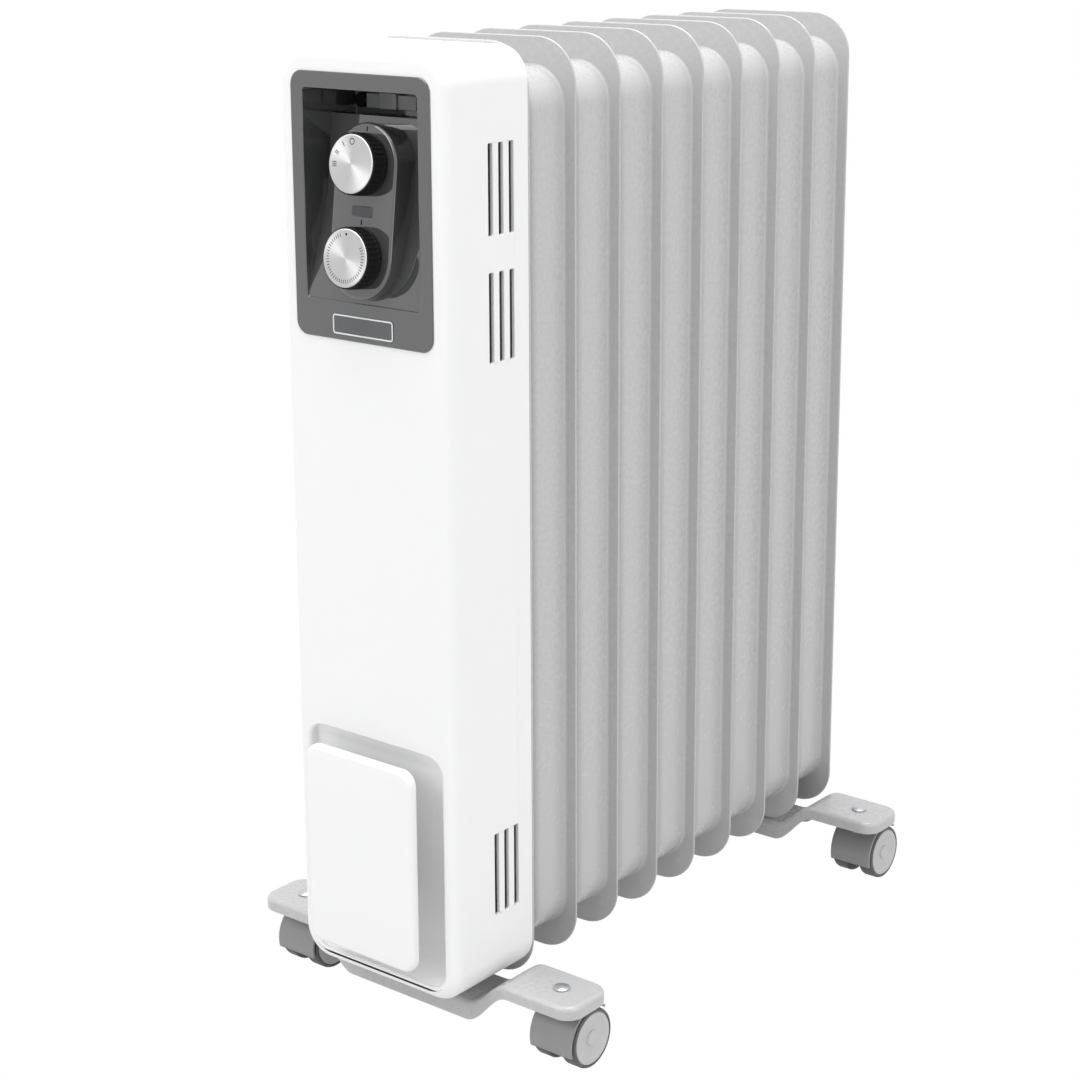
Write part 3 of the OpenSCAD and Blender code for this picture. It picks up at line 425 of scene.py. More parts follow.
def light_scuffs():
    """Group: sparse fine scuffs as a mask."""
    group = bpy.data.node_groups.new("Light scuffs", "ShaderNodeTree")
    add = socket_maker(group)
    add("Position", "INPUT", "NodeSocketVector")
    add("Scale", "INPUT", "NodeSocketFloat", 60.0)
    add("Coverage", "INPUT", "NodeSocketFloat", 0.1)
    add("Mask", "OUTPUT", "NodeSocketFloat")
    nodes, links = group.nodes, group.links
    source, sink = nodes.new("NodeGroupInput"), nodes.new("NodeGroupOutput")
    stretch = nodes.new("ShaderNodeMapping")
    stretch.inputs["Scale"].default_value = (1, 0.12, 1)
    streaks, patches = nodes.new("ShaderNodeTexNoise"), nodes.new("ShaderNodeTexNoise")
    streaks.inputs["Detail"].default_value = 6
    patches.inputs["Scale"].default_value = 14
    product = nodes.new("ShaderNodeMath")
    product.operation = "MULTIPLY"
    cut = nodes.new("ShaderNodeMapRange")
    cut.interpolation_type = "SMOOTHSTEP"
    cut.inputs["From Min"].default_value = 0.30
    cut.inputs["From Max"].default_value = 0.46
    links.new(source.outputs["Position"], stretch.inputs["Vector"])
    links.new(stretch.outputs["Vector"], streaks.inputs["Vector"])
    links.new(source.outputs["Scale"], streaks.inputs["Scale"])
    links.new(source.outputs["Position"], patches.inputs["Vector"])
    links.new(streaks.outputs["Fac"], product.inputs[0])
    links.new(patches.outputs["Fac"], product.inputs[1])
    links.new(product.outputs[0], cut.inputs["Value"])
    links.new(source.outputs["Coverage"], cut.inputs["To Max"])
    links.new(cut.outputs["Result"], sink.inputs["Mask"])
    return group


def fresh_material(name):
    """A new material under exactly that name; a plain one that came with the frame gives way."""
    plain = bpy.data.materials.get(name)
    if plain:
        plain.name = name + "_plain"
    material = bpy.data.materials.new(name)
    material.use_nodes = True
    return material


def finish(name, tint, gloss, grain, relief, drift=0.03, coat=0.0, metallic=0.0, specular=0.5,
           scuffs=0.0):
    """A material of moulded plastic, enamel or metal: gloss is its smoothest and roughest value,
    grain the grain's scale and relief the grain's height."""
    material = fresh_material(name)
    nodes, links = material.node_tree.nodes, material.node_tree.links
    shader = nodes["Principled BSDF"]
    where = nodes.new("ShaderNodeTexCoord")
    surface = nodes.new("ShaderNodeGroup")
    surface.node_tree = bpy.data.node_groups["Moulded surface"]
    surface.inputs["Colour"].default_value = (*tint, 1)
    surface.inputs["Drift colour"].default_value = (*[c * (1 - drift) for c in tint], 1)
    surface.inputs["Grain scale"].default_value = grain
    surface.inputs["Smoothest"].default_value = gloss[0]
    surface.inputs["Roughest"].default_value = gloss[1]
    bump = nodes.new("ShaderNodeBump")
    bump.inputs["Distance"].default_value = relief
    bump.inputs["Strength"].default_value = 1
    links.new(where.outputs["Object"], surface.inputs["Position"])
    links.new(surface.outputs["Height"], bump.inputs["Height"])
    links.new(bump.outputs["Normal"], shader.inputs["Normal"])
    if scuffs:
        marks = nodes.new("ShaderNodeGroup")
        marks.node_tree = bpy.data.node_groups["Light scuffs"]
        marks.inputs["Coverage"].default_value = scuffs
        paler = nodes.new("ShaderNodeMix")
        paler.data_type = "RGBA"
        paler.inputs["B"].default_value = (*[min(1, c * 1.25 + 0.03) for c in tint], 1)
        rougher = nodes.new("ShaderNodeMath")
        rougher.operation = "ADD"
        links.new(where.outputs["Object"], marks.inputs["Position"])
        links.new(marks.outputs["Mask"], paler.inputs["Factor"])
        links.new(surface.outputs["Colour"], paler.inputs["A"])
        links.new(paler.outputs["Result"], shader.inputs["Base Color"])
        links.new(surface.outputs["Roughness"], rougher.inputs[0])
        links.new(marks.outputs["Mask"], rougher.inputs[1])
        links.new(rougher.outputs[0], shader.inputs["Roughness"])
    else:
        links.new(surface.outputs["Colour"], shader.inputs["Base Color"])
        links.new(surface.outputs["Roughness"], shader.inputs["Roughness"])
    shader.inputs["Metallic"].default_value = metallic
    shader.inputs["Specular IOR Level"].default_value = specular
    shader.inputs["Coat Weight"].default_value = coat
    shader.inputs["Coat Roughness"].default_value = 0.06
    return material


def spun_metal(name, tint):
    """Aluminium turned on a lathe: fine rings about the object's own +Z and a turned highlight."""
    material = fresh_material(name)
    nodes, links = material.node_tree.nodes, material.node_tree.links
    shader = nodes["Principled BSDF"]
    where = nodes.new("ShaderNodeTexCoord")
    rings = nodes.new("ShaderNodeTexWave")
    rings.wave_type = "RINGS"
    rings.rings_direction = "Z"
    rings.inputs["Scale"].default_value = 900
    rings.inputs["Distortion"].default_value = 1.2
    rings.inputs["Detail"].default_value = 3
    rings.inputs["Detail Scale"].default_value = 2
    gloss = nodes.new("ShaderNodeMapRange")
    gloss.inputs["To Min"].default_value = 0.24
    gloss.inputs["To Max"].default_value = 0.36
    tone = nodes.new("ShaderNodeMix")
    tone.data_type = "RGBA"
    tone.inputs["A"].default_value = (*tint, 1)
    tone.inputs["B"].default_value = (*[c * 0.93 for c in tint], 1)
    bump = nodes.new("ShaderNodeBump")
    bump.inputs["Distance"].default_value = 0.004 * MM
    tangent = nodes.new("ShaderNodeTangent")
    tangent.direction_type = "RADIAL"
    tangent.axis = "Z"
    links.new(where.outputs["Object"], rings.inputs["Vector"])
    links.new(rings.outputs["Fac"], gloss.inputs["Value"])
    links.new(rings.outputs["Fac"], tone.inputs["Factor"])
    links.new(rings.outputs["Fac"], bump.inputs["Height"])
    links.new(gloss.outputs["Result"], shader.inputs["Roughness"])
    links.new(tone.outputs["Result"], shader.inputs["Base Color"])
    links.new(bump.outputs["Normal"], shader.inputs["Normal"])
    links.new(tangent.outputs["Tangent"], shader.inputs["Tangent"])
    shader.inputs["Metallic"].default_value = 1
    shader.inputs["Anisotropic"].default_value = 0.85
    return material


class HeaterFinishes(bpy.types.Operator):
    """Makes every finish, and gives the carried-over pieces theirs"""
    bl_idname = "heater.finishes"
    bl_label = "Finishes"

    def execute(self, context):
        tint = context.scene.heater_colours
        moulded_surface()
        light_scuffs()
        finish("housing_white", tint.housing, (0.34, 0.44), 1400, 0.010 * MM, drift=0.015)
        finish("fin_enamel", tint.element, (0.22, 0.32), 260, 0.012 * MM, drift=0.03, coat=0.1, specular=0.35)
        finish("panel_grey", tint.panel, (0.03, 0.05), 500, 0.0005 * MM, drift=0.02, coat=0.6, specular=1.0)
        finish("strip_grey", tint.strip, (0.16, 0.24), 700, 0.004 * MM)
        finish("badge_silver", tint.badge, (0.18, 0.28), 1200, 0.004 * MM)
        finish("badge_border", tint.border, (0.22, 0.30), 1200, 0.004 * MM)
        finish("lamp_smoke", tint.lamp, (0.06, 0.10), 500, 0.002 * MM, coat=0.5)
        finish("knob_black", tint.knob, (0.34, 0.46), 1800, 0.012 * MM, specular=0.12)
        spun_metal("cap_aluminium", tint.cap)
        finish("switch_black", tint.switch, (0.40, 0.55), 1500, 0.010 * MM)
        finish("terminal_white", tint.terminal, (0.45, 0.58), 1500, 0.010 * MM)
        finish("zinc_steel", tint.zinc, (0.26, 0.42), 420, 0.006 * MM, drift=0.12, metallic=1)
        finish("element_copper", tint.copper, (0.28, 0.45), 600, 0.006 * MM, drift=0.15, metallic=1)
        finish("loom_rubber", tint.rubber, (0.55, 0.70), 1600, 0.012 * MM)
        finish("grommet_rubber", tint.rubber, (0.50, 0.66), 1600, 0.012 * MM)
        finish("foot_enamel", tint.foot, (0.22, 0.34), 260, 0.012 * MM, coat=0.2, scuffs=0.10)
        finish("caster_grey", tint.caster, (0.38, 0.50), 1300, 0.012 * MM, scuffs=0.16)
        finish("hood_grey", tint.hood, (0.38, 0.50), 1300, 0.012 * MM, scuffs=0.16)
        finish("tyre_grey", tint.tyre, (0.50, 0.65), 900, 0.015 * MM, scuffs=0.25)
        for name, node in frame["nodes"].items():
            material = bpy.data.materials[SLOT_OF[name]]
            if not node.material_slots:
                node.data.materials.append(material)
            for holder in node.material_slots:
                holder.material = material
        return {"FINISHED"}


# ---------------------------------------------------------------- stage


class HeaterStage(bpy.types.Operator):
    """Sets the pale floor, the soft lights and the camera"""
    bl_idname = "heater.stage"
    bl_label = "Stage"

    def softbox(self, name, azimuth, elevation, distance, size, power, target):
        light = bpy.data.lights.new(name, "AREA")
        light.energy = power
        light.size = size
        lamp = bpy.data.objects.new(name, light)
        bpy.context.collection.objects.link(lamp)
        a, e = math.radians(azimuth), math.radians(elevation)
        back = Vector((math.sin(a) * math.cos(e), -math.cos(a) * math.cos(e), math.sin(e)))
        lamp.location = target + back * distance
        lamp.rotation_mode = "QUATERNION"
        lamp.rotation_quaternion = (-back).to_track_quat("-Z", "Y")

    def execute(self, context):
        studio = context.scene.heater_studio
        scene = context.scene
        scene.view_settings.view_transform = "Standard"
        middle = (CAD_BOX[0] + CAD_BOX[1]) / 2

        world = bpy.data.worlds.new("Surround")
        world.use_nodes = True
        nodes, links = world.node_tree.nodes, world.node_tree.links
        nodes.clear()
        sink = nodes.new("ShaderNodeOutputWorld")
        seen, around = nodes.new("ShaderNodeBackground"), nodes.new("ShaderNodeBackground")
        seen.inputs["Color"].default_value = (1, 1, 1, 1)
        around.inputs["Color"].default_value = (1, 1, 1, 1)
        around.inputs["Strength"].default_value = studio.surround
        path, either = nodes.new("ShaderNodeLightPath"), nodes.new("ShaderNodeMixShader")
        shown = nodes.new("ShaderNodeMath")
        shown.operation = "MAXIMUM"
        links.new(path.outputs["Is Camera Ray"], shown.inputs[0])
        links.new(path.outputs["Is Glossy Ray"], shown.inputs[1])
        links.new(shown.outputs[0], either.inputs[0])
        links.new(around.outputs[0], either.inputs[1])
        links.new(seen.outputs[0], either.inputs[2])
        links.new(either.outputs[0], sink.inputs["Surface"])
        scene.world = world

        bm = bmesh.new()
        bmesh.ops.create_grid(bm, x_segments=8, y_segments=8, size=20)
        mesh = bpy.data.meshes.new("floor")
        bm.to_mesh(mesh)
        bm.free()
        floor = bpy.data.objects.new("floor", mesh)
        bpy.context.collection.objects.link(floor)
        material = bpy.data.materials.new("floor_pale")
        material.use_nodes = True
        shader = material.node_tree.nodes["Principled BSDF"]
        shader.inputs["Base Color"].default_value = (*studio.floor, 1)
        shader.inputs["Roughness"].default_value = 0.9
        shader.inputs["Specular IOR Level"].default_value = 0.1
        nodes, links = material.node_tree.nodes, material.node_tree.links
        white, path = nodes.new("ShaderNodeEmission"), nodes.new("ShaderNodeLightPath")
        either = nodes.new("ShaderNodeMixShader")
        shown = nodes.new("ShaderNodeMath")
        shown.operation = "MAXIMUM"
        links.new(path.outputs["Is Camera Ray"], shown.inputs[0])
        links.new(path.outputs["Is Glossy Ray"], shown.inputs[1])
        links.new(shown.outputs[0], either.inputs[0])
        links.new(shader.outputs[0], either.inputs[1])
        links.new(white.outputs[0], either.inputs[2])
        links.new(either.outputs[0], nodes["Material Output"].inputs["Surface"])
        mesh.materials.append(material)

        self.softbox("front_softbox", -22, 30, 2.6, 1.2, studio.front_light, middle)
        self.softbox("side_softbox", 82, 18, 2.6, 1.8, studio.side_light, middle)
        self.softbox("top_softbox", 0, 86, 2.2, 2.0, studio.top_light, middle)

        camera_data = bpy.data.cameras.new("camera")
        camera_data.sensor_width = 36
        camera_data.lens = studio.lens
        camera_data.shift_y = -studio.lower
        camera = bpy.data.objects.new("camera", camera_data)
        bpy.context.collection.objects.link(camera)
        a, e = studio.azimuth, studio.elevation
        back = Vector((math.sin(a) * math.cos(e), -math.cos(a) * math.cos(e), math.sin(e)))
        right = Vector((math.cos(a), math.sin(a), 0))
        up = back.cross(right)
        turn = Matrix((right, up, back)).transposed().to_4x4() @ Matrix.Rotation(studio.roll, 4, "Z")
        place = middle + back * studio.distance + right * studio.aside + up * studio.above
        camera.matrix_world = Matrix.Translation(place) @ turn
        scene.camera = camera
        return {"FINISHED"}


# ---------------------------------------------------------------- radiator


class HeaterElements(bpy.types.Operator):
    """Pressed elements: a seam-welded rim plate with a rounded oil chamber in front of it"""
    bl_idname = "heater.elements"
    bl_label = "Elements"

    def execute(self, context):
        sizes = context.scene.heater_sizes
        lo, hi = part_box(ELEMENTS[0])
        half_w, half_h = hi.x, (hi.z - lo.z) / 2
        corner, rim = sizes.element_corner, sizes.element_rim
        chamber = (half_w - sizes.chamber_side, half_h - sizes.chamber_end, sizes.chamber_corner)
        depth = hi.y - lo.y
        fillet, bulge, hem = 2 * MM, 0.4 * MM, rim / 2
        sections = [self.rim(half_w, half_h, corner, inset * MM, height * MM) for inset, height in
                    ((30, 0.2), (26, 0.9), (23, 1.3), (15, 1.4), (12.5, 1.2), (10.5, 0.5), (9, 0.1), (8, 0))]
        sections += [self.rim(half_w, half_h, corner, hem * (1 - math.sin(t)), -hem + hem * math.cos(t))
                     for t in spread(0, math.pi, 8)]
        sections += [self.rim(*chamber, -fillet * (1 - math.sin(t)), -rim - fillet * (1 - math.cos(t)))
                     for t in spread(0, math.pi / 2, 5)]
        sections += [self.rim(*chamber, -bulge * math.sin(math.pi * share),
                              -rim - fillet - (depth - rim - fillet - sizes.chamber_round) * share)
                     for share in (0.2, 0.4, 0.6, 0.8)]
        round_off = sizes.chamber_round
        sections += [self.rim(*chamber, round_off * (1 - math.cos(t)),
                              -depth + round_off * (1 - math.sin(t)))
                     for t in spread(0, math.pi / 2, 7)]
        sections += [self.rim(*chamber, inset * MM, -depth + height * MM)
                     for inset, height in ((16, 0), (19, 1.2), (22, 1.5))]
        bm = bmesh.new()
        rings = [ring(bm, [(u, height, v) for u, v in outline(w, h, radius, 12)])
                 for w, h, radius, height in sections]
        skin(bm, rings)
        fill_across(bm, rings[0])
        fill_across(bm, rings[-1])
        mesh = None
        for name in ELEMENTS:
            lo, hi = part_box(name)
            at = Matrix.Translation((0, hi.y, (lo.z + hi.z) / 2))
            if mesh is None:
                made = piece(bm, name + "_pressing", BODY_OF[name], ["fin_enamel"], [name], at)
                mesh = made.data
            else:
                place_mesh(mesh, name + "_pressing", BODY_OF[name], [name], at)
        self.end_plate(sizes, half_w, half_h)
        self.plugs()
        return {"FINISHED"}

    def rim(self, half_w, half_h, radius, inset, height):
        return half_w - inset, half_h - inset, max(radius - inset, 2 * MM), height

    def end_plate(self, sizes, half_w, half_h):
        """The plate that closes the row behind the housing."""
        lo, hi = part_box("end_plate")
        hem = (hi.y - lo.y) / 2
        sections = [(hem * (1 - math.sin(t)), hi.y - hem + hem * math.cos(t)) for t in spread(0, math.pi, 8)]
        sections = [(14 * MM, hi.y + 0.8 * MM), (9 * MM, hi.y + 0.8 * MM), (7 * MM, hi.y)] + sections
        bm = bmesh.new()
        rings = [ring(bm, [(u, y, (lo.z + hi.z) / 2 + v) for u, v in
                           outline(half_w - inset, half_h - inset, sizes.element_corner - inset, 12)])
                 for inset, y in sections]
        skin(bm, rings)
        fill_across(bm, rings[0])
        fill_across(bm, rings[-1])
        piece(bm, "end_plate_pressing", "root", ["fin_enamel"], ["end_plate"])

    def plugs(self):
        """Domed plugs on the ends of the hubs, each with a round socket."""
        lo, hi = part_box("hub_plugs")
        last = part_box(ELEMENTS[-1])[1].y
        radius, thick = hi.x, hi.y - last
        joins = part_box("hub_collars")
        collar = (joins[1].x - joins[0].x) / 2
        bm = bmesh.new()
        for y, z, out in ((last, joins[0].z + collar, 1), (last, joins[1].z - collar, 1),
                          (BACK, joins[1].z - collar, -1)):
            turn = Matrix.Rotation(math.radians(-90 * out), 4, "X")
            place = Matrix.Translation((0, y, z)) @ turn
            profile = [(0, 0), (radius, 0), (radius, thick * 0.35), (radius * 0.97, thick * 0.52),
                       (radius * 0.9, thick * 0.62), (radius * 0.55, thick * 0.72), (radius * 0.5, thick),
                       (radius * 0.34, thick), (radius * 0.33, thick * 0.3), (0, thick * 0.3)]
            lathe(bm, place, profile, 48)
        piece(bm, "hub_plug_domes", "root", ["fin_enamel"], ["hub_plugs"], bevel=0.3 * MM)


# ---------------------------------------------------------------- housing


class HeaterHousing(bpy.types.Operator):
    """Moulded housing with its side vents and the recess for the supply cord"""
    bl_idname = "heater.housing"
    bl_label = "Housing"

    def cord_floor(self, sizes, low):
        """Floor of the cord recess: a scooped top, a long slope, a deep floor and a short slope."""
        knots = [(0, 0), (18 * MM, sizes.cord_recess_depth), (38 * MM, sizes.cord_recess_depth),
                 (sizes.cord_recess_height - 6 * MM, 5 * MM), (sizes.cord_recess_height, 0)]
        window = spread(-5 * MM, 5 * MM, 10)

        def raw(height):
            if height <= 0 or height >= knots[-1][0]:
                return 0
            for (h0, d0), (h1, d1) in zip(knots, knots[1:]):
                if height <= h1:
                    return d0 + (d1 - d0) * (height - h0) / (h1 - h0)
            return 0

        return lambda z: sum(raw(z - low + shift) for shift in window) / len(window)

    def execute(self, context):
        sizes = context.scene.heater_sizes
        lo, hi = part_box("housing")
        half_w, half_h, mid_z = hi.x, (hi.z - lo.z) / 2, (hi.z + lo.z) / 2
        corner = 10
        sections = [(inset, y) for inset, y in reversed(rounded_end(1 * MM, hi.y, 3))]
        round_start = len(sections)
        sections += rounded_end(-sizes.housing_rounding, lo.y, 10)
        bm = bmesh.new()
        rings = [ring(bm, [(u, y, mid_z + v) for u, v in
                           outline(half_w - inset, half_h - inset, sizes.housing_corner - inset, corner)])
                 for inset, y in sections]
        skin(bm, rings[:round_start])
        back, start = rings[round_start - 1], rings[round_start]
        count = len(back)
        right, left = corner, count - corner - 2
        skin(bm, [back, start], skip=(right, left))
        skin(bm, rings[round_start:])
        for side, i in ((1, right), (-1, left)):
            edge = [back[i], back[i + 1], start[i + 1], start[i]]
            fill_flat(bm, (side, 0, 0), edge, *self.vents(bm, sizes, side * half_w, lo, hi))

        low = lo.z + sizes.cord_recess_lip
        recess_mid = low + sizes.cord_recess_height / 2
        size = (half_w - sizes.cord_recess_side, sizes.cord_recess_height / 2, sizes.cord_recess_corner)
        straight = sizes.cord_recess_height / 2 - sizes.cord_recess_corner
        rows = spread(-straight * 0.96, straight * 0.96, 26)
        pocket = recess(bm, size, recess_mid, lo.y, self.cord_floor(sizes, low), 3 * MM, 14,
                        sizes.cord_recess_depth, 6 * MM, rows)
        panel_lo, panel_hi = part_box("control_panel")
        opening = outline(panel_hi.x - sizes.panel_lip, (panel_hi.z - panel_lo.z) / 2 - sizes.panel_lip,
                          sizes.panel_corner - sizes.panel_lip / 2, 4)
        panel_mid = (panel_hi.z + panel_lo.z) / 2
        opening = ring(bm, [(u, lo.y, panel_mid + v) for u, v in opening])
        fill_flat(bm, (0, -1, 0), rings[-1], pocket, opening)
        piece(bm, "housing_moulding", "root", ["housing_white"], ["housing"],
              shell=sizes.housing_wall, bevel=0.35 * MM)
        return {"FINISHED"}

    def vents(self, bm, sizes, x, lo, hi):
        """Outlines of the vent slots in one side: two groups above and one below."""
        half = sizes.vent_length / 2
        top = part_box(ELEMENTS[0])[1].z
        middles = (top - 56.7 * MM - half, top - 133.6 * MM - half, 94.1 * MM + half)
        points = outline(sizes.vent_width / 2, half, sizes.vent_corner, 4)
        return [ring(bm, [(x, lo.y + sizes.vent_middle + place * sizes.vent_pitch + u, z + v)
                          for u, v in points])
                for z in middles for place in (-1, 0, 1)]


class HeaterCordWrap(bpy.types.Operator):
    """Plate that holds the wound cord in its recess"""
    bl_idname = "heater.cord_wrap"
    bl_label = "Cord wrap"

    def execute(self, context):
        lo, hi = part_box("cord_plate")
        bm = bmesh.new()
        slab(bm, facing(0, (lo.z + hi.z) / 2), hi.x, (hi.z - lo.z) / 2, 10 * MM, hi.y, lo.y, 3 * MM,
             back_edge=1 * MM, crown=0.5 * MM, corner=10)
        piece(bm, "cord_plate_moulding", "root", ["housing_white"], ["cord_plate"])
        return {"FINISHED"}


# ---------------------------------------------------------------- control panel


class HeaterPanel(bpy.types.Operator):
    """Gloss panel with its recess, slot and island, the strip, the lamp and the blank badge"""
    bl_idname = "heater.panel"
    bl_label = "Control panel"

    def execute(self, context):
        sizes = context.scene.heater_sizes
        lo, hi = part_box("control_panel")
        face = FRONT - sizes.panel_proud
        mid_z, half_h = (lo.z + hi.z) / 2, (hi.z - lo.z) / 2
        upper = JOINTS["power_turn"]
        lean = -upper["axis"][2] / upper["axis"][1]
        low, top = lo.z + sizes.recess_foot, hi.z - sizes.recess_drop
        slot_floor = top - sizes.slot_height
        slot_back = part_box("timer_blank")[1].y + 0.6 * MM
        ramp_top = low + sizes.recess_ramp

        def face_at(z):
            return upper["pos_m"][1] + (z - upper["pos_m"][2]) * lean

        def raw_floor(z):
            if z >= ramp_top:
                return face_at(z) + sizes.recess_floor - face
            share = max(z - low, 0) / (ramp_top - low)
            return share * (face_at(ramp_top) + sizes.recess_floor - face)

        def floor(z):
            if z > slot_floor:
                return slot_back - face
            reach = 7 * MM
            return sum(raw_floor(min(z + shift, slot_floor)) for shift in spread(-reach, reach, 10)) / 11

        bm = bmesh.new()
        edge = 0.7 * MM
        sections = [(0, FRONT)] + rounded_end(-edge, face, 4)
        rings = [ring(bm, [(u, y, mid_z + v) for u, v in
                           outline(hi.x - inset, half_h - inset, sizes.panel_corner - inset, 8)])
                 for inset, y in sections]
        skin(bm, rings)
        recess_mid = (low + top) / 2
        rows = [z - recess_mid for z in spread(low + 4 * MM, ramp_top + 10 * MM, 20)]
        rows += [z - recess_mid for z in (slot_floor - 8 * MM, slot_floor - 0.5 * MM, slot_floor - 0.1 * MM,
                                          slot_floor + 0.1 * MM, slot_floor + 8 * MM)]
        size = (hi.x - sizes.recess_side, (top - low) / 2, 2.5 * MM)
        hollow = recess(bm, size, recess_mid, face, floor, 0.8 * MM, 60, slot_back - face, 1.6 * MM, rows)
        fill_flat(bm, (0, -1, 0), rings[-1], hollow)
        piece(bm, "panel_moulding", "root", ["panel_grey"], ["control_panel"],
              shell=0.5 * MM)
        self.island(sizes)
        self.strip()
        self.badge(face)
        return {"FINISHED"}

    def island(self, sizes):
        """Raised island on the control face, with its lamp and its pointer marks."""
        upper, lower = JOINTS["power_turn"], JOINTS["thermostat_turn"]
        pitch = (Vector(upper["pos_m"]) - Vector(lower["pos_m"])).length
        frame_up = face_frame(upper)
        middle = frame_up @ Matrix.Translation((0, -pitch / 2, 0))
        bm = bmesh.new()
        radius = sizes.island_radius
        slab(bm, local(Matrix.Identity(4)), radius, radius + pitch / 2, radius,
             -sizes.recess_floor - 1.5 * MM, 0, 2 * MM, corner=20)
        piece(bm, "panel_island", "root", ["panel_grey"], at=middle)

        lo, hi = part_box("lamp_lens")
        lamp_h = 3.2 * MM
        bm = bmesh.new()
        slab(bm, local(Matrix.Identity(4)), hi.x, lamp_h, 1.6 * MM, -2 * MM, 0.45 * MM, 0.5 * MM,
             crown=0.15 * MM)
        piece(bm, "lamp_window", "root", ["lamp_smoke"], ["lamp_lens"], at=middle)

        bm = bmesh.new()
        knob_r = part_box("power_knob")[1].x
        mark = (0.45 * MM, 1.5 * MM)
        lower_mark = -pitch / 2 + knob_r + 2.6 * MM
        upper_mark = pitch / 2 + knob_r + 2.4 * MM
        for v in (lower_mark, upper_mark):
            slab(bm, lambda a, b, h, v=v: Vector((a, v + b, h)), *mark, 0.2 * MM, -0.1 * MM, 0.12 * MM,
                 0.05 * MM, corner=2)
        piece(bm, "pointer_marks", "root", ["knob_black"], at=middle)

    def strip(self):
        """Blanking strip in the deep slot: three tiles, a tab and a dark end."""
        lo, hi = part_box("timer_blank")
        width, gap, round_off = hi.x - lo.x, 0.5 * MM, 0.6 * MM
        front = lo.y + 1.5 * MM
        tiles = ((0.115, 0.31), (0.31, 0.60), (0.60, 0.78), (0.78, 1.0))
        bm = bmesh.new()
        for a, b in tiles:
            x0, x1 = lo.x + width * a + gap / 2, lo.x + width * b - gap / 2
            slab(bm, facing((x0 + x1) / 2, lo.z + 4.5 * MM), (x1 - x0) / 2, 4.5 * MM, 0.8 * MM, hi.y, front,
                 round_off, corner=3)
        tab_x = lo.x + width * 0.34
        slab(bm, facing(tab_x, hi.z - 5 * MM), 7 * MM, 5 * MM, 0.8 * MM, front + 1 * MM, lo.y, round_off,
             corner=3)
        slab(bm, facing(lo.x + width * 0.055, lo.z + 4.5 * MM), width * 0.053, 4.5 * MM, 4.4 * MM, hi.y,
             front, round_off, corner=5, material=1)
        piece(bm, "slot_strip", "root", ["strip_grey", "knob_black"], ["timer_blank"])

    def badge(self, face):
        """Blank plate with a thin raised border and nothing on it."""
        lo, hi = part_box("badge_plate")
        mid_z, half_h = (lo.z + hi.z) / 2, (hi.z - lo.z) / 2
        bm = bmesh.new()
        place = facing(0, mid_z)
        slab(bm, place, hi.x, half_h, 2 * MM, face + 0.2 * MM, lo.y + 0.25 * MM, 0.15 * MM)
        wide, tall, corner = hi.x, half_h, 2 * MM
        border = [(0, lo.y + 0.4 * MM), (0, lo.y + 0.1 * MM), (0.1 * MM, lo.y), (0.8 * MM, lo.y),
                  (0.9 * MM, lo.y + 0.1 * MM), (0.9 * MM, lo.y + 0.4 * MM)]
        rings = [ring(bm, [place(u, v, y) for u, v in outline(wide - inset, tall - inset, corner - inset, 6)])
                 for inset, y in border]
        skin(bm, rings + rings[:1], material=1)
        piece(bm, "badge_blank", "root", ["badge_silver", "badge_border"], ["badge_plate"])


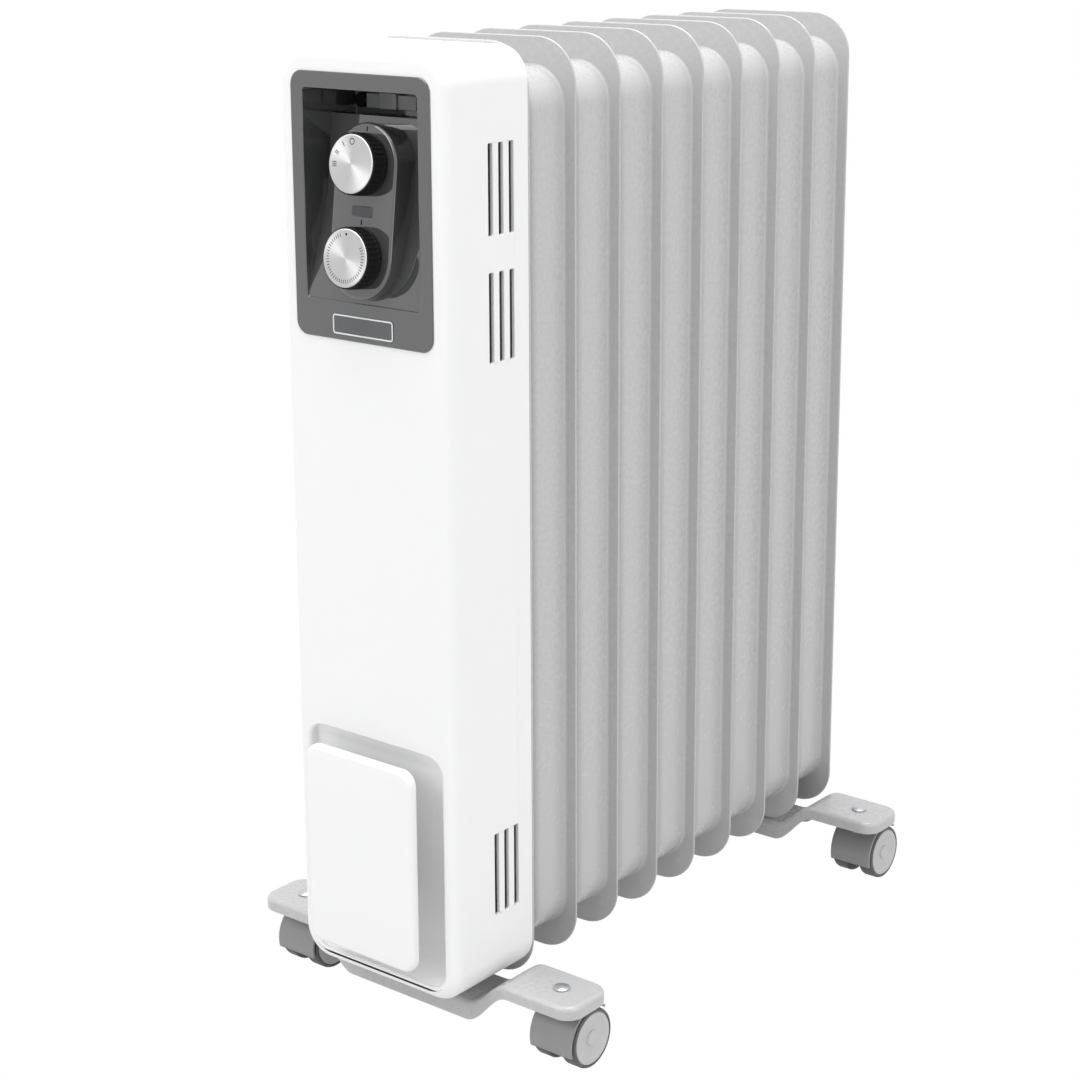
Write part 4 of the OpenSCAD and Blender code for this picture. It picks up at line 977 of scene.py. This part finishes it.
class HeaterKnobs(bpy.types.Operator):
    """Fluted knobs with spun caps and their dial marks"""
    bl_idname = "heater.knobs"
    bl_label = "Knobs"

    def execute(self, context):
        sizes = context.scene.heater_sizes
        for name, marks in (("power", self.power_marks), ("thermostat", self.dial_marks)):
            joint = JOINTS[name + "_turn"]
            at = face_frame(joint)
            to_face = at.inverted()
            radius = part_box(name + "_knob")[1].x
            cap_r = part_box(name + "_cap")[1].x
            heights = [(to_face @ v.co).z for v in frame["nodes"][name + "_knob"].data.vertices]
            low, high = min(heights), max(heights)
            cap_top = max((to_face @ v.co).z for v in frame["nodes"][name + "_cap"].data.vertices)
            self.body(sizes, name, at, radius, cap_r, low, high)
            self.cap(name, at, cap_r, high, cap_top)
            bm = bmesh.new()
            marks(bm, cap_r, cap_top - 0.07 * MM)
            piece(bm, name + "_cap_marks", name + "_knob", ["knob_black"], at=at)
        return {"FINISHED"}

    def body(self, sizes, name, at, radius, cap_r, low, high):
        """Knob body: a plain skirt, flutes with soft ends and a smooth top ring."""
        per_flute = 8
        count = sizes.flute_count * per_flute
        skirt = [(0.8, 0, 0), (0.25, 0.15, 0), (0, 0.7, 0), (0, 1.9, 0), (0, 2.3, 0.15), (0, 2.7, 0.7),
                 (0, 3.2, 1)]
        crest = [(0, -1.7, 1), (0.08, -1.25, 0.8), (0.2, -0.8, 0.4), (0.38, -0.4, 0.12), (0.62, -0.12, 0),
                 (0.85, 0, 0)]
        rows = [(inset, low + rise * MM, cut) for inset, rise, cut in skirt]
        rows += [(inset, high + rise * MM, cut) for inset, rise, cut in crest]
        bm = bmesh.new()
        rings = [ring(bm, [Vector((0, 0, low))])]
        for inset, height, cut in rows:
            points = []
            for i in range(count):
                turn = 2 * math.pi * i / count
                flute = (0.5 + 0.5 * math.cos(sizes.flute_count * turn)) ** 0.8
                r = radius - inset * MM - cut * sizes.flute_depth * flute
                points.append((r * math.cos(turn), r * math.sin(turn), height))
            rings.append(ring(bm, points))
        for r, height in ((cap_r + 0.1 * MM, high), (cap_r + 0.1 * MM, high - 0.8 * MM)):
            rings.append(ring(bm, [(r * math.cos(2 * math.pi * i / count), r * math.sin(2 * math.pi * i / count),
                                    height) for i in range(count)]))
        rings.append(ring(bm, [Vector((0, 0, high - 0.8 * MM))]))
        skin(bm, rings)
        piece(bm, name + "_knob_body", name + "_knob", ["knob_black"], [name + "_knob"], at)

    def cap(self, name, at, cap_r, high, top):
        """Spun cap, very slightly dished."""
        profile = [(0, top - 0.14 * MM), (cap_r * 0.3, top - 0.135 * MM), (cap_r * 0.6, top - 0.12 * MM),
                   (cap_r * 0.85, top - 0.07 * MM), (cap_r - 0.9 * MM, top), (cap_r - 0.45 * MM, top - 0.02 * MM),
                   (cap_r - 0.1 * MM, top - 0.2 * MM), (cap_r, top - 0.5 * MM), (cap_r, high - 0.7 * MM),
                   (0, high - 0.7 * MM)]
        bm = bmesh.new()
        lathe(bm, Matrix.Identity(4), profile, 96)
        piece(bm, name + "_cap_disc", name + "_knob", ["cap_aluminium"], [name + "_cap"], at)

    def bar(self, bm, radius, turn, across, along, top, aside=0.0):
        """A short printed bar at a distance from the axis, turned anticlockwise from the top."""
        spin = Matrix.Rotation(turn, 4, "Z") @ Matrix.Translation((aside, radius, top - 0.05 * MM))
        slab(bm, local(spin), across / 2, along / 2, across * 0.3, 0, 0.06 * MM, 0.02 * MM, corner=2)

    def power_marks(self, bm, cap_r, top):
        """A ring for off and one, two and three bars for the steps."""
        radius = cap_r - 4.4 * MM
        circle = [(2 * MM, 0), (2 * MM, 0.06 * MM), (1.5 * MM, 0.06 * MM), (1.5 * MM, 0), (2 * MM, 0)]
        lathe(bm, Matrix.Translation((0, radius, top - 0.05 * MM)), circle, 32)
        for step in (1, 2, 3):
            for i in range(step):
                self.bar(bm, radius, math.radians(31 * step), 0.5 * MM, 3.4 * MM, top,
                         (i - (step - 1) / 2) * 1.2 * MM)

    def dial_marks(self, bm, cap_r, top):
        """A dot at the start and a fan of close ticks round the dial."""
        radius = cap_r - 3.4 * MM
        lathe(bm, Matrix.Translation((0, radius, top - 0.05 * MM)), [(0, 0), (0.8 * MM, 0),
              (0.8 * MM, 0.06 * MM), (0, 0.06 * MM)], 16)
        for i in range(41):
            self.bar(bm, radius, math.radians(20 + 7 * i), 0.45 * MM, (2.2 + 0.02 * i) * MM, top)


# ---------------------------------------------------------------- feet and casters


class HeaterFeet(bpy.types.Operator):
    """Pressed saddles with a level cradle, two rises and flat ends"""
    bl_idname = "heater.feet"
    bl_label = "Feet"

    def execute(self, context):
        sizes = context.scene.heater_sizes
        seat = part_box(ELEMENTS[0])[0].z
        for name in ("front_foot", "rear_foot"):
            lo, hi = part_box(name)
            half_l, half_w, mid_y = hi.x, (hi.y - lo.y) / 2, (hi.y + lo.y) / 2
            rows = [-105 * MM, -94 * MM, *spread(-sizes.flat_half, -sizes.cradle_half, 16), -30 * MM, -10 * MM]
            rows += [-row for row in reversed(rows)]

            def rise(x):
                share = (abs(x) - sizes.cradle_half) / (sizes.flat_half - sizes.cradle_half)
                return (1 - math.cos(math.pi * min(max(share, 0), 1))) / 2

            def top(x):
                return seat + (hi.z - seat) * rise(x)

            def low(x):
                return lo.z + (hi.z - sizes.foot_skirt - lo.z) * rise(x)

            bm = bmesh.new()
            plan = (half_w, half_l, sizes.foot_corner)
            rings = [ring(bm, [(v, mid_y + u, low(v)) for u, v in outline(*plan, 8, rows)])]
            for share in (0.35, 0.7):
                rings.append(ring(bm, [(v, mid_y + u, low(v) + (top(v) - sizes.foot_rounding - low(v)) * share)
                                       for u, v in outline(*plan, 8, rows)]))
            for inset, height in rounded_end(sizes.foot_rounding, 0, 5):
                shape = outline(half_w - inset, half_l - inset, sizes.foot_corner - inset, 8, rows)
                rings.append(ring(bm, [(v, mid_y + u, top(v) + height) for u, v in shape]))
            skin(bm, rings)
            fill_across(bm, rings[-1])
            piece(bm, name + "_pressing", "root", ["foot_enamel"], [name],
                  shell=sizes.foot_sheet, bevel=0.35 * MM)
        return {"FINISHED"}


class HeaterCasters(bpy.types.Operator):
    """Twin-wheel casters: a hood over the treads, and wheels with dished discs"""
    bl_idname = "heater.casters"
    bl_label = "Casters"

    def execute(self, context):
        sizes = context.scene.heater_sizes
        wheel_mesh = None
        for caster in CASTERS:
            for side, out in (("left", -1), ("right", 1)):
                name = f"{caster}_wheel_{side}"
                lo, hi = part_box(name)
                radius, width = (hi.z - lo.z) / 2, hi.x - lo.x
                inner_x = hi.x if out < 0 else lo.x
                at = Matrix.Translation((inner_x, (lo.y + hi.y) / 2, radius + lo.z))
                at = at @ Matrix.Rotation(math.radians(90 * out), 4, "Y")
                if wheel_mesh is None:
                    bm = bmesh.new()
                    self.wheel(bm, radius, width)
                    made = piece(bm, name + "_disc", name, ["tyre_grey", "caster_grey"],
                                 [name], at)
                    wheel_mesh = made.data
                else:
                    place_mesh(wheel_mesh, name + "_disc", name, [name], at)
            self.hood(sizes, caster, radius)
        return {"FINISHED"}

    def wheel(self, bm, radius, width):
        """Tread with rounded edges, a groove, and a dished disc with a hub cap."""
        tread = [(0, 0.4), (0.80, 0.4), (0.82, 0), (0.925, 0), (0.975, 0.5), (1, 1.5), (1, width / MM - 1.5),
                 (0.978, width / MM - 0.5), (0.93, width / MM), (0.895, width / MM), (0.885, width / MM - 0.7)]
        disc = [(0.885, width / MM - 0.7), (0.87, width / MM - 0.7), (0.86, width / MM - 0.05),
                (0.80, width / MM), (0.74, width / MM - 0.15), (0.66, width / MM - 0.9),
                (0.42, width / MM - 1.3), (0.27, width / MM - 1.2), (0.25, width / MM - 0.3),
                (0.20, width / MM), (0, width / MM + 0.05)]
        lathe(bm, Matrix.Identity(4), [(share * radius, h * MM) for share, h in tread], 56)
        lathe(bm, Matrix.Identity(4), [(share * radius, h * MM) for share, h in disc], 56, material=1)

    def hood(self, sizes, caster, wheel_r):
        """Hood over the treads on the stem's side, a web between the wheels and the stem's boss."""
        name = caster + "_hood"
        lo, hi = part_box(name)
        wheel_lo, wheel_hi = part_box(caster + "_wheel_left")
        other_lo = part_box(caster + "_wheel_right")[0]
        mid_x = (lo.x + hi.x) / 2
        axle_y, axle_z = (wheel_lo.y + wheel_hi.y) / 2, (wheel_lo.z + wheel_hi.z) / 2
        stem_y = JOINTS[caster + "_swivel"]["pos_m"][1]
        outer = axle_y - lo.y
        hem = 6 * MM
        arc_end = math.pi + math.asin(hem / outer)
        half_w, sheet = (hi.x - lo.x) / 2, sizes.hood_sheet
        bm = bmesh.new()
        rings = []
        for turn in spread(math.radians(52), arc_end, 24):
            rings.append(ring(bm, [(mid_x + u, axle_y + (outer - sheet / 2 + v) * math.cos(turn),
                                    axle_z + (outer - sheet / 2 + v) * math.sin(turn))
                                   for u, v in outline(half_w, sheet / 2, 0.7 * MM, 3)]))
        skin(bm, rings)
        fill_across(bm, rings[0])
        fill_across(bm, rings[-1])

        web_half = (other_lo.x - wheel_hi.x) / 2 - 0.4 * MM
        web_r, web_back = outer - sheet / 2, 8 * MM
        rim = [(web_r * math.cos(t), web_r * math.sin(t))
               for t in spread(math.acos(web_back / web_r), math.pi + math.asin(hem / web_r), 20)]
        rim += [(web_back, -hem)]
        sides = [ring(bm, [(mid_x + x, axle_y + y, axle_z + z) for y, z in rim]) for x in (-web_half, web_half)]
        skin(bm, sides)
        for side in sides:
            bm.faces.new(side)
        low, high = axle_z + 8 * MM, hi.z
        boss_r = web_half
        place = Matrix.Translation((mid_x, stem_y, 0))
        lathe(bm, place, [(0, low), (boss_r, low), (boss_r, high), (0, high)], 32)
        piece(bm, caster + "_hood_moulding", caster + "_caster", ["hood_grey"], [name],
              bevel=0.4 * MM)


# ---------------------------------------------------------------- registration

STEPS = (HeaterFinishes, HeaterStage, HeaterElements, HeaterHousing, HeaterCordWrap, HeaterPanel,
         HeaterKnobs, HeaterFeet, HeaterCasters)
GROUPS = {"heater_sizes": HeaterSizes, "heater_colours": HeaterColours, "heater_studio": HeaterStudio}


class HEATER_PT_sidebar(bpy.types.Panel):
    """Lists the steps that build the heater"""
    bl_idname = "HEATER_PT_sidebar"
    bl_label = "Oil filled radiator heater"
    bl_space_type = "VIEW_3D"
    bl_region_type = "UI"
    bl_category = "Heater"

    def draw(self, context):
        for step in STEPS:
            self.layout.operator(step.bl_idname)


def register():
    for made in (*GROUPS.values(), *STEPS, HEATER_PT_sidebar):
        bpy.utils.register_class(made)
    for name, group in GROUPS.items():
        setattr(bpy.types.Scene, name, PointerProperty(type=group))


def unregister():
    for name in GROUPS:
        delattr(bpy.types.Scene, name)
    for made in (HEATER_PT_sidebar, *reversed(STEPS), *reversed(GROUPS.values())):
        bpy.utils.unregister_class(made)


def main():
    register()
    for step in STEPS:
        family, name = step.bl_idname.split(".")
        getattr(getattr(bpy.ops, family), name)()


if __name__ == "__main__":
    main()
